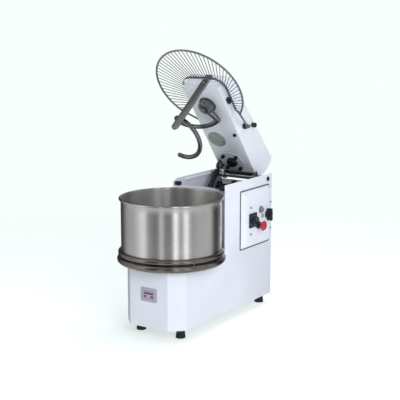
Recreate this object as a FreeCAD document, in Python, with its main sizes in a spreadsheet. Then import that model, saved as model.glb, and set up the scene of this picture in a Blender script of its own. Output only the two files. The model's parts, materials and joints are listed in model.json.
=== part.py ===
"""Spiral dough mixer with a lifting head, shown raised, and a lift-out bowl.

Millimetres. +Z is up, -Y is the front (bowl side), +X is the control side.
Lengths called ..._back are measured rearwards from the bowl's axis.
The head's pieces are drawn as they lie with the head down, and then turned
up about the hinge pin by head_raise.
"""
import FreeCAD, Part
import math
import os
import re
import Sketcher
from FreeCAD import Placement, Rotation, Vector

doc = FreeCAD.newDocument("spiral_mixer")

# ---------------------------------------------------------------- sizes
SIZES = """
bowl_y -185 bowl axis, from the origin
foot_height 38 floor to the underside of the base
foot_radius 19
foot_bore 5
foot_across 172 between foot centres, left to right
foot_front_back -68 front feet
foot_rear_back 462 rear feet
base_width 252
base_front_back -138
base_rear_back 482
base_corner 45 chamfer of the front corners
deck_top 246 height of the deck under the turntable
deck_thickness 3
skin 2 sheet thickness of the body
column_clearance 19.4 from the bowl's wall to the column's hollow front
column_top 510 top of the column's side walls
column_left_inset 16 the column's left wall stands in from the base's side
column_front_top 487 top of the column's hollow front
column_front_post 5 sheet returned in front of each side wall
corner_cut_front 150 the left wall's top front corner slopes back, clear of the lowered guard
corner_cut_rear 195
corner_cut_low 494
ledge_top 500 ledge inside the column's walls
ledge_side 6
ledge_front_back 240
ledge_rear_back 412
floor_sheet 5 chassis plate
rear_cover_top 468
rear_cover_bottom 42
vent_length 90
vent_height 5
vent_pitch 14
vent_count 7
vent_low 110
seam 0.4 gap between neighbouring pieces that move or lift off
shaft_radius 15 turntable shaft
drive_radius 12.5 upright drive shaft
running 0.05 radial clearance of a running fit
housing_radius 40
housing_flange 62
housing_bottom 198
bearing_width 12
bearing_wall 11
turntable_plate_inset 3.6 the plate's edge, inside the bowl's wall
turntable_plate_low 255
turntable_plate_high 261
turntable_ring_reach 2.4 middle of the lower bead, outside the bowl's wall
turntable_ring_tube 12.5
turntable_ring_z 263
turntable_hub_radius 30
lock_pin_radius 3
lock_pin_reach 5.4 pin circle, outside the bowl's wall
lock_slot_angle 24
bowl_radius 177.6
bowl_wall 1.5
bowl_top 477 middle of the rim's bead
bowl_corner 20 outside radius round the bottom
rim_tube 4
skirt_tube 10
skirt_z 286.5
sprocket_low 178 underside of the lower chain run
chain_width 10
chain_thickness 8
chain_pitch 12.7
chain_gap 1.2 slack between chain and sprocket
turntable_teeth 30
drive_teeth 15
coupling_teeth 13
spiral_teeth 26
drive_back 371 upright drive shaft behind the bowl axis
drive_top 464
coupling_disc 50
coupling_disc_thickness 8
dog_width 12
dog_height 14
dog_inner 30
pin_circle 41
pin_radius 7
pin_length 12
hub_radius 22
coupling_flange_low 486
coupling_flange_thickness 5
bracket_z 418
bracket_thickness 8
bracket_depth 60
gearbox_side 112
gearbox_high 150
shaft_seat 24 foot of the upright shaft above the gearbox's base
motor_radius 58
motor_length 190
motor_z 108
fan_cover_length 34
pivot_back 452
pivot_z 492
hinge_pin_radius 10
cap_radius 9
cap_height 4
cheek_thickness 10
cheek_length 66
cheek_low 400
bush_wall 4
head_raise 52.7 lift of the head from level
head_half_width 77
head_floor 493 underside of the head when level
head_plate_thickness 4
head_skin 2
nose_back 1
nose_top 560
brow_back 42
brow_top 588
crown_back 189
crown_top 598
tail_back 468
tail_top 619
tail_end_back 480
tail_end_top 604
tail_end_low 545
heel_back 462
heel_low 506
plate_end_back 429
lug_thickness 9
lug_inset 4
lug_length 150
lug_radius 16
spiral_back 84
spiral_shaft_radius 15
spiral_shaft_top 566
spiral_hub_radius 28
spiral_hub_low 465
spiral_radius 66
spiral_rod 8
spiral_top_z 474
spiral_low_z 285
spiral_start 60 angle where the rod leaves its arm
spiral_sweep 420
arm_height 18
arm_width 24
spiral_housing_radius 40
upper_chain_z 536
bar_x 12 the bar stands a little off the bowl's axis
bar_width 27
bar_thickness 9
bar_low 270
bar_high 552
bar_bolt_radius 7
guard_inset 5.6 the guard's ring, inside the bowl's wall
guard_wire 3.5
guard_z 487 plane of the guard's outer ring
guard_rise 30 how far the inner band stands above the outer ring
band_clearance 15 from the head's side to the inner band
band_front_back -21
band_rear_back 128
band_corner 48
band_thickness 3
band_height 9
grill_wire 1.3
grill_count 46
guard_gap_angle 48 half of the rear gap in the outer ring
guard_hinge_back 228
guard_hinge_z 540
switch_block_back 66 block beside the nose that the guard's band closes on
switch_block_length 22
switch_block_z 505
boss_radius 11
boss_length 12
arm_wire 4
strut_x -62
strut_top_back 393
strut_top_z 479
strut_low_back 262
strut_low_z 375
strut_radius 10
strut_rod_radius 5
strut_length 150
strut_neck 22 thin neck between the strut's can and its upper eye
eye_radius 11
eye_bore 8.6
eye_width 10
ear_thickness 4
strut_pin 3
panel_front_back 256
panel_rear_back 458
panel_low 252.7
panel_high 470
panel_depth 16
panel_bevel 20
panel_sheet 2
screw_radius 4
bezel_width 50
bezel_height 54
bezel_depth 6
bezel_back 316
bezel_z 357
timer_radius 17
timer_depth 14
stop_back 356
stop_z 332
stop_collar_radius 14
stop_collar_depth 8
stop_stem_radius 8
stop_head_radius 19
stop_head_depth 14
stop_stem_depth 12
stop_travel 5
start_back 374
start_z 388
start_radius 10
start_depth 7
start_travel 3
speed_back 420
speed_z 363
speed_radius 15
speed_depth 24
speed_grip_length 46
speed_grip_width 9
lamp_back 388
lamp_z 362
lamp_radius 6
lamp_depth 6
knob_back 266
knob_z 596
knob_radius 9
knob_length 16
corner_cap_side 22
corner_cap_depth 18.2
corner_cap_height 14
badge_width 68
badge_height 50
badge_depth 2
badge_x 2
badge_z 157
gland_radius 11
gland_length 9
gland_x 70
gland_z 78
electrics_width 40
electrics_length 150
electrics_height 130
"""

sheet = doc.addObject("Spreadsheet::Sheet", "Sizes")
row = 0
for line in SIZES.strip().splitlines():
    row += 1
    alias, value, *note = line.split(" ", 2)
    sheet.set("A%d" % row, alias)
    sheet.set("B%d" % row, value)
    sheet.setAlias("B%d" % row, alias)
    if note:
        sheet.set("C%d" % row, note[0])
doc.recompute()

FUNCTIONS = ("sin", "cos", "tan", "sqrt")


def size(alias):
    """The number in a cell of the sheet."""
    return float(sheet.get(alias))


def link(text):
    """An expression on the sheet's cells."""
    def cell(found):
        word = found.group(0)
        return word if word in FUNCTIONS else "Sizes." + word
    return re.sub(r"[A-Za-z_][A-Za-z_]*", cell, str(text))


def bind(thing, **sizes):
    for name, text in sizes.items():
        thing.setExpression(name.replace("__", "."), link(text))


TURNS = {"z": Rotation(), "x": Rotation(Vector(0, 1, 0), 90), "y": Rotation(Vector(1, 0, 0), -90)}


def place(thing, x=0, y=0, z=0, along="z"):
    """Put a thing at x, y (rearwards from the bowl's axis) and z."""
    thing.Placement = Placement(Vector(), TURNS[along])
    bind(thing, Placement__Base__x=x, Placement__Base__y="bowl_y + (%s)" % y, Placement__Base__z=z)
    return thing


def new(kind, name="work"):
    return doc.addObject("Part::" + kind, name)


def block(length, width, height, x, y, z):
    """A box from its lowest corner."""
    thing = new("Box")
    bind(thing, Length=length, Width=width, Height=height)
    return place(thing, x, y, z)


def middle_block(length, width, height, x, y, z):
    """A box that is centred on x and y."""
    return block(length, width, height, "(%s) - (%s)/2" % (x, length), "(%s) - (%s)/2" % (y, width), z)


def rod(radius, length, x, y, z, along="z"):
    thing = new("Cylinder")
    bind(thing, Radius=radius, Height=length)
    return place(thing, x, y, z, along)


def cone(low_radius, high_radius, length, x, y, z, along="z"):
    thing = new("Cone")
    bind(thing, Radius1=low_radius, Radius2=high_radius, Height=length)
    return place(thing, x, y, z, along)


def ring(radius, tube, x, y, z):
    thing = new("Torus")
    bind(thing, Radius1=radius, Radius2=tube)
    return place(thing, x, y, z)


def fuse(*things):
    joined = new("MultiFuse")
    joined.Shapes = list(things)
    return joined


def cut(base, *tools):
    trimmed = new("Cut")
    trimmed.Base = base
    trimmed.Tool = tools[0] if len(tools) == 1 else fuse(*tools)
    return trimmed


def group(*things):
    together = new("Compound")
    together.Links = list(things)
    return together


def tube(outer, inner, length, x, y, z, along="z"):
    return cut(rod(outer, length, x, y, z, along), rod(inner, length, x, y, z, along))


def prism(plane, corners, height, start, middle=False):
    """A body padded from a closed outline whose corners are bound to the sheet.

    On XY the outline is x, back and rises along Z; on YZ it is back, z and runs along X.
    """
    body = doc.addObject("PartDesign::Body", "body")
    drawing = body.newObject("Sketcher::SketchObject", "outline")
    for feature in body.Origin.OriginFeatures:
        if feature.Role == plane + "_Plane":
            drawing.AttachmentSupport = [(feature, "")]
    drawing.MapMode = "FlatFace"
    count = len(corners)
    rough = [Vector(math.cos(2 * math.pi * i / count), math.sin(2 * math.pi * i / count), 0) * 100
             for i in range(count)]
    for i in range(count):
        drawing.addGeometry(Part.LineSegment(rough[i], rough[(i + 1) % count]), False)
    for i in range(count):
        drawing.addConstraint(Sketcher.Constraint("Coincident", i, 2, (i + 1) % count, 1))
    for i, (across, up) in enumerate(corners):
        for kind, text in (("DistanceX", across), ("DistanceY", up)):
            drawing.addConstraint(Sketcher.Constraint(kind, -1, 1, i, 1, 10.0))
            drawing.setExpression("Constraints[%d]" % (drawing.ConstraintCount - 1), link(text))
    pad = body.newObject("PartDesign::Pad", "pad")
    pad.Profile = drawing
    pad.Midplane = middle
    bind(pad, Length=height)
    if plane == "XY":
        place(body, 0, 0, start)
    else:
        place(body, start, 0, 0)
    body.Tip = pad
    return body


NODES = []


def keep(thing, label):
    """Name a finished sub-part. Its label is its node and its file."""
    if thing.TypeId in ("Part::Box", "Part::Cylinder", "Part::Cone", "Part::Torus", "Part::Sphere"):
        thing = group(thing)
    thing.Label = label
    NODES.append(thing)
    return thing


def keep_shape(shape, label):
    """A finished sub-part whose shape is made by Part's own functions."""
    thing = doc.addObject("Part::Feature", label)
    thing.Shape = shape
    thing.Label = label
    NODES.append(thing)
    return thing


def raised(thing):
    """Turn a head piece up about the hinge pin, from level to its raised place."""
    thing.Placement = Placement(Vector(), Rotation(Vector(1, 0, 0), -size("head_raise")))
    pin_y = "(bowl_y + pivot_back)"
    bind(thing, Placement__Rotation__Angle="-head_raise",
         Placement__Base__y="%s - %s*cos(head_raise) - pivot_z*sin(head_raise)" % (pin_y, pin_y),
         Placement__Base__z="pivot_z + %s*sin(head_raise) - pivot_z*cos(head_raise)" % pin_y)
    thing.Placement.Rotation.Axis = Vector(1, 0, 0)
    return thing


# ---------------------------------------------------------------- chains and sprockets
def sprocket_radius(teeth):
    """Pitch radius of a chain wheel."""
    return size("chain_pitch") * size(teeth) / (2 * math.pi)


def sprocket(teeth, bore, back, low):
    """A chain wheel: a disc with a seat for each roller."""
    pitch_radius = sprocket_radius(teeth)
    roller = size("chain_pitch") * 0.3
    centre = Vector(0, size("bowl_y") + size(back), low)
    wheel = Part.makeCylinder(pitch_radius, size("chain_width"), centre)
    wheel = wheel.cut(Part.makeCylinder(bore, size("chain_width"), centre))
    count = int(size(teeth))
    seats = []
    for i in range(count):
        angle = 2 * math.pi * i / count
        at = centre + Vector(math.cos(angle), math.sin(angle), 0) * pitch_radius
        seats.append(Part.makeCylinder(roller, size("chain_width"), at))
    return wheel.cut(seats)


def loop_face(front_radius, front_back, rear_radius, rear_back, low):
    """The flat area inside a belt line round two wheels on the machine's middle."""
    front = Vector(0, size("bowl_y") + front_back, low)
    rear = Vector(0, size("bowl_y") + rear_back, low)
    slope = math.asin((front_radius - rear_radius) / (rear.y - front.y))
    def spot(centre, radius, side):
        return centre + Vector(side * radius * math.cos(slope), radius * math.sin(slope), 0)
    a, b = spot(front, front_radius, 1), spot(rear, rear_radius, 1)
    c, d = spot(rear, rear_radius, -1), spot(front, front_radius, -1)
    edges = [Part.LineSegment(a, b).toShape(),
             Part.Arc(b, rear + Vector(0, rear_radius, 0), c).toShape(),
             Part.LineSegment(c, d).toShape(),
             Part.Arc(d, front - Vector(0, front_radius, 0), a).toShape()]
    return Part.Face(Part.Wire(edges))


def chain(front_teeth, front_back, rear_teeth, rear_back, low):
    """A chain as the band that it runs in, clear of both wheels."""
    gap = size("chain_gap")
    front = sprocket_radius(front_teeth) + gap
    rear = sprocket_radius(rear_teeth) + gap
    thick = size("chain_thickness")
    height = Vector(0, 0, size("chain_width"))
    outer = loop_face(front + thick, size(front_back), rear + thick, size(rear_back), low).extrude(height)
    inner = loop_face(front, size(front_back), rear, size(rear_back), low).extrude(height)
    return outer.cut(inner)


# ---------------------------------------------------------------- body
CLEAR_RADIUS = "(bowl_radius + column_clearance)"
PLATE_RADIUS = "(bowl_radius - turntable_plate_inset)"
LOWER_BEAD_RADIUS = "(bowl_radius + turntable_ring_reach)"
LOCK_CIRCLE = "(bowl_radius + lock_pin_reach)"
COLUMN_LEFT = "(column_left_inset - base_width/2)"
COLUMN_RIGHT = "(base_width/2)"


def column_span(inset):
    """The column's width, between faces that lie inset from its two outer sides."""
    return "(%s - %s - 2*(%s))" % (COLUMN_RIGHT, COLUMN_LEFT, inset)


def body_outline(inset):
    """The base's outline: square rear, chamfered front corners, inset by a sheet's thickness."""
    side = "base_width/2 - %s" % inset
    turn = "base_front_back + base_corner + (sqrt(2) - 1)*%s" % inset
    nose = "base_front_back + %s" % inset
    cheek = "base_width/2 - base_corner - (sqrt(2) - 1)*%s" % inset
    return [("-(%s)" % side, "base_rear_back"), ("-(%s)" % side, turn), ("-(%s)" % cheek, nose),
            (cheek, nose), (side, turn), (side, "base_rear_back")]


def body_shell():
    """Welded sheet body: base with its deck, and the column hollowed round the bowl."""
    base = prism("XY", body_outline("0"), "deck_top - foot_height", "foot_height")
    column = cut(block(column_span("0"), "base_rear_back", "column_top - deck_top",
                       COLUMN_LEFT, 0, "deck_top"),
                 rod(CLEAR_RADIUS, "column_top", 0, 0, 0))
    base_room = prism("XY", body_outline("skin"), "deck_top - deck_thickness - foot_height", "foot_height")
    column_room = cut(block(column_span("skin"), "base_rear_back", "column_top", COLUMN_LEFT + " + skin", 0,
                            "deck_top - 2*deck_thickness"),
                      rod(CLEAR_RADIUS + " + skin", "2*column_top", 0, 0, 0))
    lip = block(column_span("column_front_post"), CLEAR_RADIUS + " + 3*skin", "column_top",
                COLUMN_LEFT + " + column_front_post", 0, "column_front_top")
    shaft_hole = rod("turntable_hub_radius", "deck_top", 0, 0, "deck_top/2")
    ledges = [block("ledge_side", "ledge_rear_back - ledge_front_back", "ledge_side",
                    start, "ledge_front_back", "ledge_top - ledge_side")
              for start in (COLUMN_LEFT + " + skin", COLUMN_RIGHT + " - skin - ledge_side")]
    lip_room = cut(lip, rod(CLEAR_RADIUS + " - skin", "2*column_top", 0, 0, 0))
    corner = prism("YZ", [("corner_cut_front", "corner_cut_low"), ("corner_cut_rear", "column_top + 1"),
                          ("corner_cut_front", "column_top + 1")],
                   "2*column_front_post", COLUMN_LEFT + " - column_front_post/2")
    shell = cut(fuse(base, column), base_room, column_room, lip_room, shaft_hole, corner)
    keep(fuse(shell, *ledges), "body_shell")


def rear_cover():
    """Sheet cover that closes the back, with louvre slots and the lead's hole."""
    lower = block("base_width - 2*skin - 2*seam", "skin",
                  "deck_top - deck_thickness - seam - rear_cover_bottom",
                  "-base_width/2 + skin + seam", "base_rear_back - skin", "rear_cover_bottom")
    upper = block(column_span("skin + seam"), "skin", "rear_cover_top - rear_cover_bottom",
                  COLUMN_LEFT + " + skin + seam", "base_rear_back - skin", "rear_cover_bottom")
    tools = [rod("gland_radius - 3", "4*skin", "gland_x", "base_rear_back - 2*skin", "gland_z", "y")]
    for i in range(int(size("vent_count"))):
        for side in ("-1", "1"):
            tools.append(middle_block("vent_length", "6*skin", "vent_height",
                                      "%s*(vent_length/2 + 8)" % side, "base_rear_back",
                                      "vent_low + vent_pitch*%d" % i))
    keep(cut(fuse(lower, upper), *tools), "rear_cover")


def floor_plate():
    """Chassis plate that the feet, gearbox and motor bolt to."""
    side = "base_width/2 - skin - seam"
    front = "base_front_back + base_corner + skin"
    corners = [("-(%s)" % side, "base_rear_back - skin - seam"), ("-(%s)" % side, front),
               ("-(%s) + base_corner" % side, "base_front_back + 2*skin"),
               ("(%s) - base_corner" % side, "base_front_back + 2*skin"), (side, front),
               (side, "base_rear_back - skin - seam")]
    plate = prism("XY", corners, "floor_sheet", "foot_height")
    holes = [rod("foot_bore", "3*floor_sheet", x, y, "foot_height - floor_sheet") for x, y in foot_places()]
    keep(cut(plate, *holes), "floor_plate")


def foot_places():
    return [(x, y) for x in ("-foot_across/2", "foot_across/2")
            for y in ("foot_front_back", "foot_rear_back")]


def feet():
    """Four black rubber feet with their threaded studs."""
    pieces = []
    for x, y in foot_places():
        pad = cone("foot_radius - 1.5", "foot_radius", "foot_height", x, y, 0)
        stud = rod("foot_bore - 0.2", "floor_sheet + 12", x, y, "foot_height")
        nut = rod("2*foot_bore", "6", x, y, "foot_height + floor_sheet + seam")
        pieces.append(fuse(pad, stud, nut))
    keep(group(*pieces), "feet")


def badge_plate():
    """Plain plate on the base's front."""
    keep(middle_block("badge_width", "badge_depth", "badge_height", "badge_x",
                      "base_front_back - badge_depth/2", "badge_z - badge_height/2"), "badge_plate")


def cable_gland():
    nut = tube("gland_radius", "gland_radius/2", "gland_length", "gland_x", "base_rear_back", "gland_z", "y")
    neck = tube("gland_radius - 3.2", "gland_radius/2", "skin + 6", "gland_x",
                "base_rear_back - skin - 6", "gland_z", "y")
    keep(fuse(nut, neck), "cable_gland")


def corner_caps():
    """Black caps on the column's lowered front, beside its two side walls."""
    inset = "(column_front_post + seam + corner_cap_side/2)"
    caps = []
    for x in (COLUMN_LEFT + " + " + inset, COLUMN_RIGHT + " - " + inset):
        back = "sqrt((%s + skin/2)^2 - (%s)^2)" % (CLEAR_RADIUS, x)
        caps.append(middle_block("corner_cap_side", "corner_cap_depth", "corner_cap_height", x, back,
                                 "column_front_top"))
    keep(group(*caps), "corner_caps")


# ---------------------------------------------------------------- hinge
def hinge():
    cheeks, bushes, caps = [], [], []
    for start, cap_start in ((COLUMN_LEFT + " + skin", COLUMN_LEFT + " - cap_height"),
                             (COLUMN_RIGHT + " - skin - cheek_thickness", COLUMN_RIGHT)):
        plate = block("cheek_thickness", "cheek_length", "column_top - 6 - cheek_low", start,
                      "pivot_back - cheek_length/2 - 6", "cheek_low")
        seat = rod("hinge_pin_radius + bush_wall", "3*cheek_thickness",
                   "%s - cheek_thickness" % start, "pivot_back", "pivot_z", "x")
        cheeks.append(cut(plate, seat))
        bushes.append(tube("hinge_pin_radius + bush_wall", "hinge_pin_radius", "cheek_thickness",
                           start, "pivot_back", "pivot_z", "x"))
        caps.append(rod("cap_radius", "cap_height", cap_start, "pivot_back", "pivot_z", "x"))
    keep(group(*cheeks), "pivot_cheeks")
    keep(group(*bushes), "hinge_bushes")
    keep(rod("hinge_pin_radius", column_span("skin"), COLUMN_LEFT + " + skin", "pivot_back", "pivot_z", "x"),
         "hinge_pin")
    keep(group(*caps), "pivot_caps")


# ---------------------------------------------------------------- turntable and bowl
def turntable():
    flange = rod("housing_flange", "bearing_width/2", 0, 0, "deck_top - deck_thickness - bearing_width/2")
    barrel = rod("housing_radius", "deck_top - deck_thickness - housing_bottom", 0, 0, "housing_bottom")
    seat = rod("shaft_radius + running + bearing_wall", "deck_top", 0, 0, "housing_bottom - 5")
    keep(cut(fuse(flange, barrel), seat), "turntable_housing")
    rings = [tube("shaft_radius + running + bearing_wall", "shaft_radius + running", "bearing_width", 0, 0, z)
             for z in ("housing_bottom + 1", "deck_top - deck_thickness - bearing_width - 1")]
    keep(group(*rings), "turntable_bearings")
    keep(rod("shaft_radius", "turntable_plate_low - sprocket_low + 6", 0, 0, "sprocket_low - 6"),
         "turntable_shaft")
    keep_shape(sprocket("turntable_teeth", size("shaft_radius"), "bowl_zero", size("sprocket_low")),
               "turntable_sprocket")

    plate = rod(PLATE_RADIUS, "turntable_plate_high - turntable_plate_low", 0, 0,
                "turntable_plate_low")
    hub = rod("turntable_hub_radius - 3", "turntable_plate_low - deck_top - 2", 0, 0, "deck_top + 2")
    hub_bore = rod("shaft_radius", "turntable_plate_low - deck_top", 0, 0, "deck_top")
    bead = ring(LOWER_BEAD_RADIUS, "turntable_ring_tube", 0, 0, "turntable_ring_z")
    groove = tube(LOWER_BEAD_RADIUS + " + turntable_ring_tube/2",
                  LOWER_BEAD_RADIUS + " - turntable_ring_tube/3",
                  "turntable_ring_tube", 0, 0, "turntable_ring_z - 1.2*turntable_ring_tube")
    room = rod("bowl_radius + seam", "2*turntable_ring_tube", 0, 0, "turntable_plate_high")
    dish = cut(fuse(plate, hub, bead), hub_bore, groove, room)
    pins = []
    for i in range(3):
        pin = rod("lock_pin_radius", "skirt_z - turntable_ring_z - 8 - seam",
                  LOCK_CIRCLE + "*cos(%d)" % (90 + 120 * i), LOCK_CIRCLE + "*sin(%d)" % (90 + 120 * i),
                  "turntable_ring_z + 4")
        pins.append(pin)
    keep(fuse(dish, *pins), "turntable_dish")


def round_foot(solid, radius):
    """Round the lowest edge of an upright cylinder."""
    doc.recompute()
    edges = solid.Shape.Edges
    lowest = min(range(len(edges)), key=lambda i: edges[i].BoundBox.ZMax)
    soft = new("Fillet")
    soft.Base = solid
    soft.Edges = [(lowest + 1, radius, radius)]
    return soft


def bowl():
    low = "turntable_plate_high + seam"
    outer = rod("bowl_radius", "bowl_top - turntable_plate_high - seam", 0, 0, low)
    inner = rod("bowl_radius - bowl_wall", "bowl_top", 0, 0, "%s + bowl_wall" % low)
    corner = size("bowl_corner")
    wall = cut(round_foot(outer, corner), round_foot(inner, corner - size("bowl_wall")))
    rim = cut(ring("bowl_radius - bowl_wall/2 + rim_tube", "rim_tube", 0, 0, "bowl_top"),
              rod("bowl_radius - bowl_wall", "bowl_top", 0, 0, "bowl_top/2"))
    keep(fuse(wall, rim), "bowl")
    slots = []
    for i in range(3):
        slot_low = "skirt_z - 1.4*skirt_tube"
        slot = cut(rod(LOCK_CIRCLE + " + lock_pin_radius + seam", "skirt_tube", 0, 0, slot_low),
                   rod(LOCK_CIRCLE + " - lock_pin_radius - seam", "skirt_tube", 0, 0, slot_low))
        for tool in (slot.Base, slot.Tool):
            bind(tool, Angle="lock_slot_angle")
        slot.Placement = Placement(Vector(), Rotation(Vector(0, 0, 1), 120 * i + 88.5))
        slot.Placement.Base = Vector(0, size("bowl_y"), 0) - slot.Placement.Rotation.multVec(
            Vector(0, size("bowl_y"), 0))
        slots.append(slot)
    skirt = cut(ring("bowl_radius + 1", "skirt_tube", 0, 0, "skirt_z"),
                rod("bowl_radius", "2*skirt_z", 0, 0, 0), *slots)
    keep(skirt, "bowl_skirt")


# ---------------------------------------------------------------- lower drive
def lower_drive():
    middle_y = "drive_back"
    floor = "(foot_height + floor_sheet)"
    keep(cut(middle_block("gearbox_side", "gearbox_side", "gearbox_high - " + floor, 0, middle_y, floor),
             rod("drive_radius + running", "2*gearbox_high", 0, middle_y, floor + " + shaft_seat")), "gearbox")
    front = "drive_back - gearbox_side/2 - motor_length"
    can = rod("motor_radius", "motor_length", 0, front, "motor_z", "y")
    fins = [tube("motor_radius + 4", "motor_radius - 1", "3",
                 0, "%s + fan_cover_length + %d" % (front, 20 + 14 * i),
                 "motor_z", "y") for i in range(9)]
    cradle = middle_block("motor_radius", "motor_length/2", "motor_z - motor_radius/2 - " + floor, 0,
                          front + " + motor_length/2", floor)
    keep(fuse(can, cradle, *fins), "motor")
    keep(rod("drive_radius", "drive_top - shaft_seat - 1 - " + floor, 0, middle_y, floor + " + shaft_seat + 1"),
         "drive_shaft")
    keep_shape(sprocket("drive_teeth", size("drive_radius"), "drive_back", size("sprocket_low")),
               "drive_sprocket")
    keep_shape(chain("turntable_teeth", "bowl_zero", "drive_teeth", "drive_back", size("sprocket_low")),
               "lower_chain")
    plate = block(column_span("skin + seam"), "bracket_depth", "bracket_thickness",
                  COLUMN_LEFT + " + skin + seam", middle_y + " - bracket_depth/2", "bracket_z")
    barrel = rod("housing_radius - 8", "3*bracket_thickness", 0, middle_y, "bracket_z - 2*bracket_thickness")
    seat = rod("drive_radius + running + bearing_wall", "bracket_z", 0, middle_y, "bracket_z/2")
    keep(cut(fuse(plate, barrel), seat), "coupling_bracket")
    keep(tube("drive_radius + running + bearing_wall", "drive_radius + running", "2*bearing_width - 2",
              0, middle_y, "bracket_z - 2*bracket_thickness + 1"), "coupling_bearing")
    disc = rod("coupling_disc", "coupling_disc_thickness", 0, middle_y, "drive_top - coupling_disc_thickness")
    dogs = []
    for i in range(4):
        turned_dog = new("Box")
        bind(turned_dog, Length="coupling_disc - dog_inner - 2", Width="dog_width", Height="dog_height")
        turned_dog.Placement = Placement(Vector(), Rotation(Vector(0, 0, 1), 90 * i))
        shift_x = ("dog_inner", "dog_width/2", "-dog_inner", "-dog_width/2")[i]
        shift_y = ("-dog_width/2", "dog_inner", "dog_width/2", "-dog_inner")[i]
        bind(turned_dog, Placement__Base__x=shift_x,
             Placement__Base__y="bowl_y + drive_back + %s" % shift_y, Placement__Base__z="drive_top - 0.01")
        dogs.append(turned_dog)
    keep(cut(fuse(disc, *dogs), rod("drive_radius", "drive_top", 0, middle_y, "drive_top/2")), "drive_coupling")


# ---------------------------------------------------------------- head
def head_cover():
    """Painted sheet cover: sides, crown, nose and tail, open underneath."""
    def outline(inset):
        gap = "(%s)" % inset
        return [("nose_back + " + gap, "head_floor"), ("nose_back + " + gap, "nose_top - %s*0.6" % gap),
                ("brow_back + %s*0.6" % gap, "brow_top - " + gap), ("crown_back", "crown_top - " + gap),
                ("tail_back - %s*0.5" % gap, "tail_top - " + gap),
                ("tail_end_back - " + gap, "tail_end_top - %s*0.5" % gap),
                ("tail_end_back - " + gap, "tail_end_low + %s*0.3" % gap),
                ("heel_back - " + gap, "heel_low"), ("heel_back - " + gap, "head_floor")]
    outer = prism("YZ", outline("0"), "2*head_half_width", 0, True)
    inner = prism("YZ", outline("head_skin"), "2*(head_half_width - head_skin)", 0, True)
    heel = block("2*head_half_width", "2*head_half_width", "heel_low - head_floor + 4",
                 "-head_half_width", "plate_end_back", "head_floor - 4")
    slit = rod("hinge_pin_radius + 4", "3*head_half_width", "-1.5*head_half_width", "pivot_back", "pivot_z", "x")
    raised(keep(cut(outer, inner, heel, slit), "head_cover"))


def head_plate():
    """Underside plate that carries the shafts' housings."""
    side = "head_half_width - head_skin - seam"
    front = "nose_back + head_skin + seam"
    plate = block("2*(%s)" % side, "plate_end_back - (%s)" % front, "head_plate_thickness",
                  "-(%s)" % side, front, "head_floor")
    holes = [rod("spiral_shaft_radius + 3", "5*head_plate_thickness", 0, "spiral_back",
                 "head_floor - 2*head_plate_thickness"),
             rod("drive_radius + 3", "5*head_plate_thickness", 0, "drive_back",
                 "head_floor - 2*head_plate_thickness"),
             middle_block("eye_width + 3", "4*eye_radius", "5*head_plate_thickness", "strut_x",
                          "strut_top_back", "head_floor - 2*head_plate_thickness")]
    raised(keep(cut(plate, *holes), "head_plate"))


def hinge_lugs():
    """Two thick lugs inside the cover's sides, which turn on the hinge pin."""
    lugs = []
    for side in ("-1", "1"):
        start = "%s*(head_half_width - head_skin - lug_inset - lug_thickness/2) - lug_thickness/2" % side
        arm = block("lug_thickness", "lug_length", "2*lug_radius", start, "pivot_back - lug_length",
                    "head_floor + head_plate_thickness")
        eye = rod("lug_radius", "lug_thickness", start, "pivot_back", "pivot_z", "x")
        web = block("lug_thickness", "lug_radius", "lug_radius",
                    start, "pivot_back - lug_radius", "pivot_z")
        bore = rod("hinge_pin_radius + running", "lug_thickness", start, "pivot_back", "pivot_z", "x")
        lugs.append(cut(fuse(arm, eye, web), bore))
    raised(keep(group(*lugs), "hinge_lugs"))


def shaft_housing(label, back, radius, wall, top):
    low = "head_floor + head_plate_thickness"
    foot = rod("spiral_housing_radius + 8", "head_plate_thickness", 0, back, low)
    barrel = rod("spiral_housing_radius - 6", "%s - (%s)" % (top, low), 0, back, low)
    seat = rod("%s + running + %s" % (radius, wall), top, 0, back, "head_floor - 5")
    raised(keep(cut(fuse(foot, barrel), seat), label))


def upper_drive():
    """Shafts, bearings, chain wheels and chain inside the head."""
    low = "head_floor + head_plate_thickness"
    shaft_housing("spiral_housing", "spiral_back", "spiral_shaft_radius", "bearing_wall", "upper_chain_z - 3")
    shaft_housing("coupling_housing", "drive_back", "drive_radius", "bearing_wall", "upper_chain_z - 3")
    rings = []
    for back, radius in (("spiral_back", "spiral_shaft_radius"), ("drive_back", "drive_radius")):
        for z in ("%s + 1" % low, "upper_chain_z - 4 - bearing_width"):
            rings.append(tube("%s + running + bearing_wall" % radius, "%s + running" % radius,
                              "bearing_width", 0, back, z))
    raised(keep(group(*rings), "head_bearings"))
    raised(keep(rod("spiral_shaft_radius", "spiral_shaft_top - spiral_hub_low - arm_height", 0, "spiral_back",
                    "spiral_hub_low + arm_height"), "spiral_shaft"))
    raised(keep(rod("drive_radius", "spiral_shaft_top - coupling_flange_low", 0, "drive_back",
                    "coupling_flange_low"), "coupling_shaft"))
    chain_z = size("upper_chain_z")
    raised(keep_shape(sprocket("spiral_teeth", size("spiral_shaft_radius"), "spiral_back", chain_z),
                      "spiral_sprocket"))
    raised(keep_shape(sprocket("coupling_teeth", size("drive_radius"), "drive_back", chain_z),
                      "coupling_sprocket"))
    raised(keep_shape(chain("spiral_teeth", "spiral_back", "coupling_teeth", "drive_back", chain_z),
                      "upper_chain"))


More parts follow.
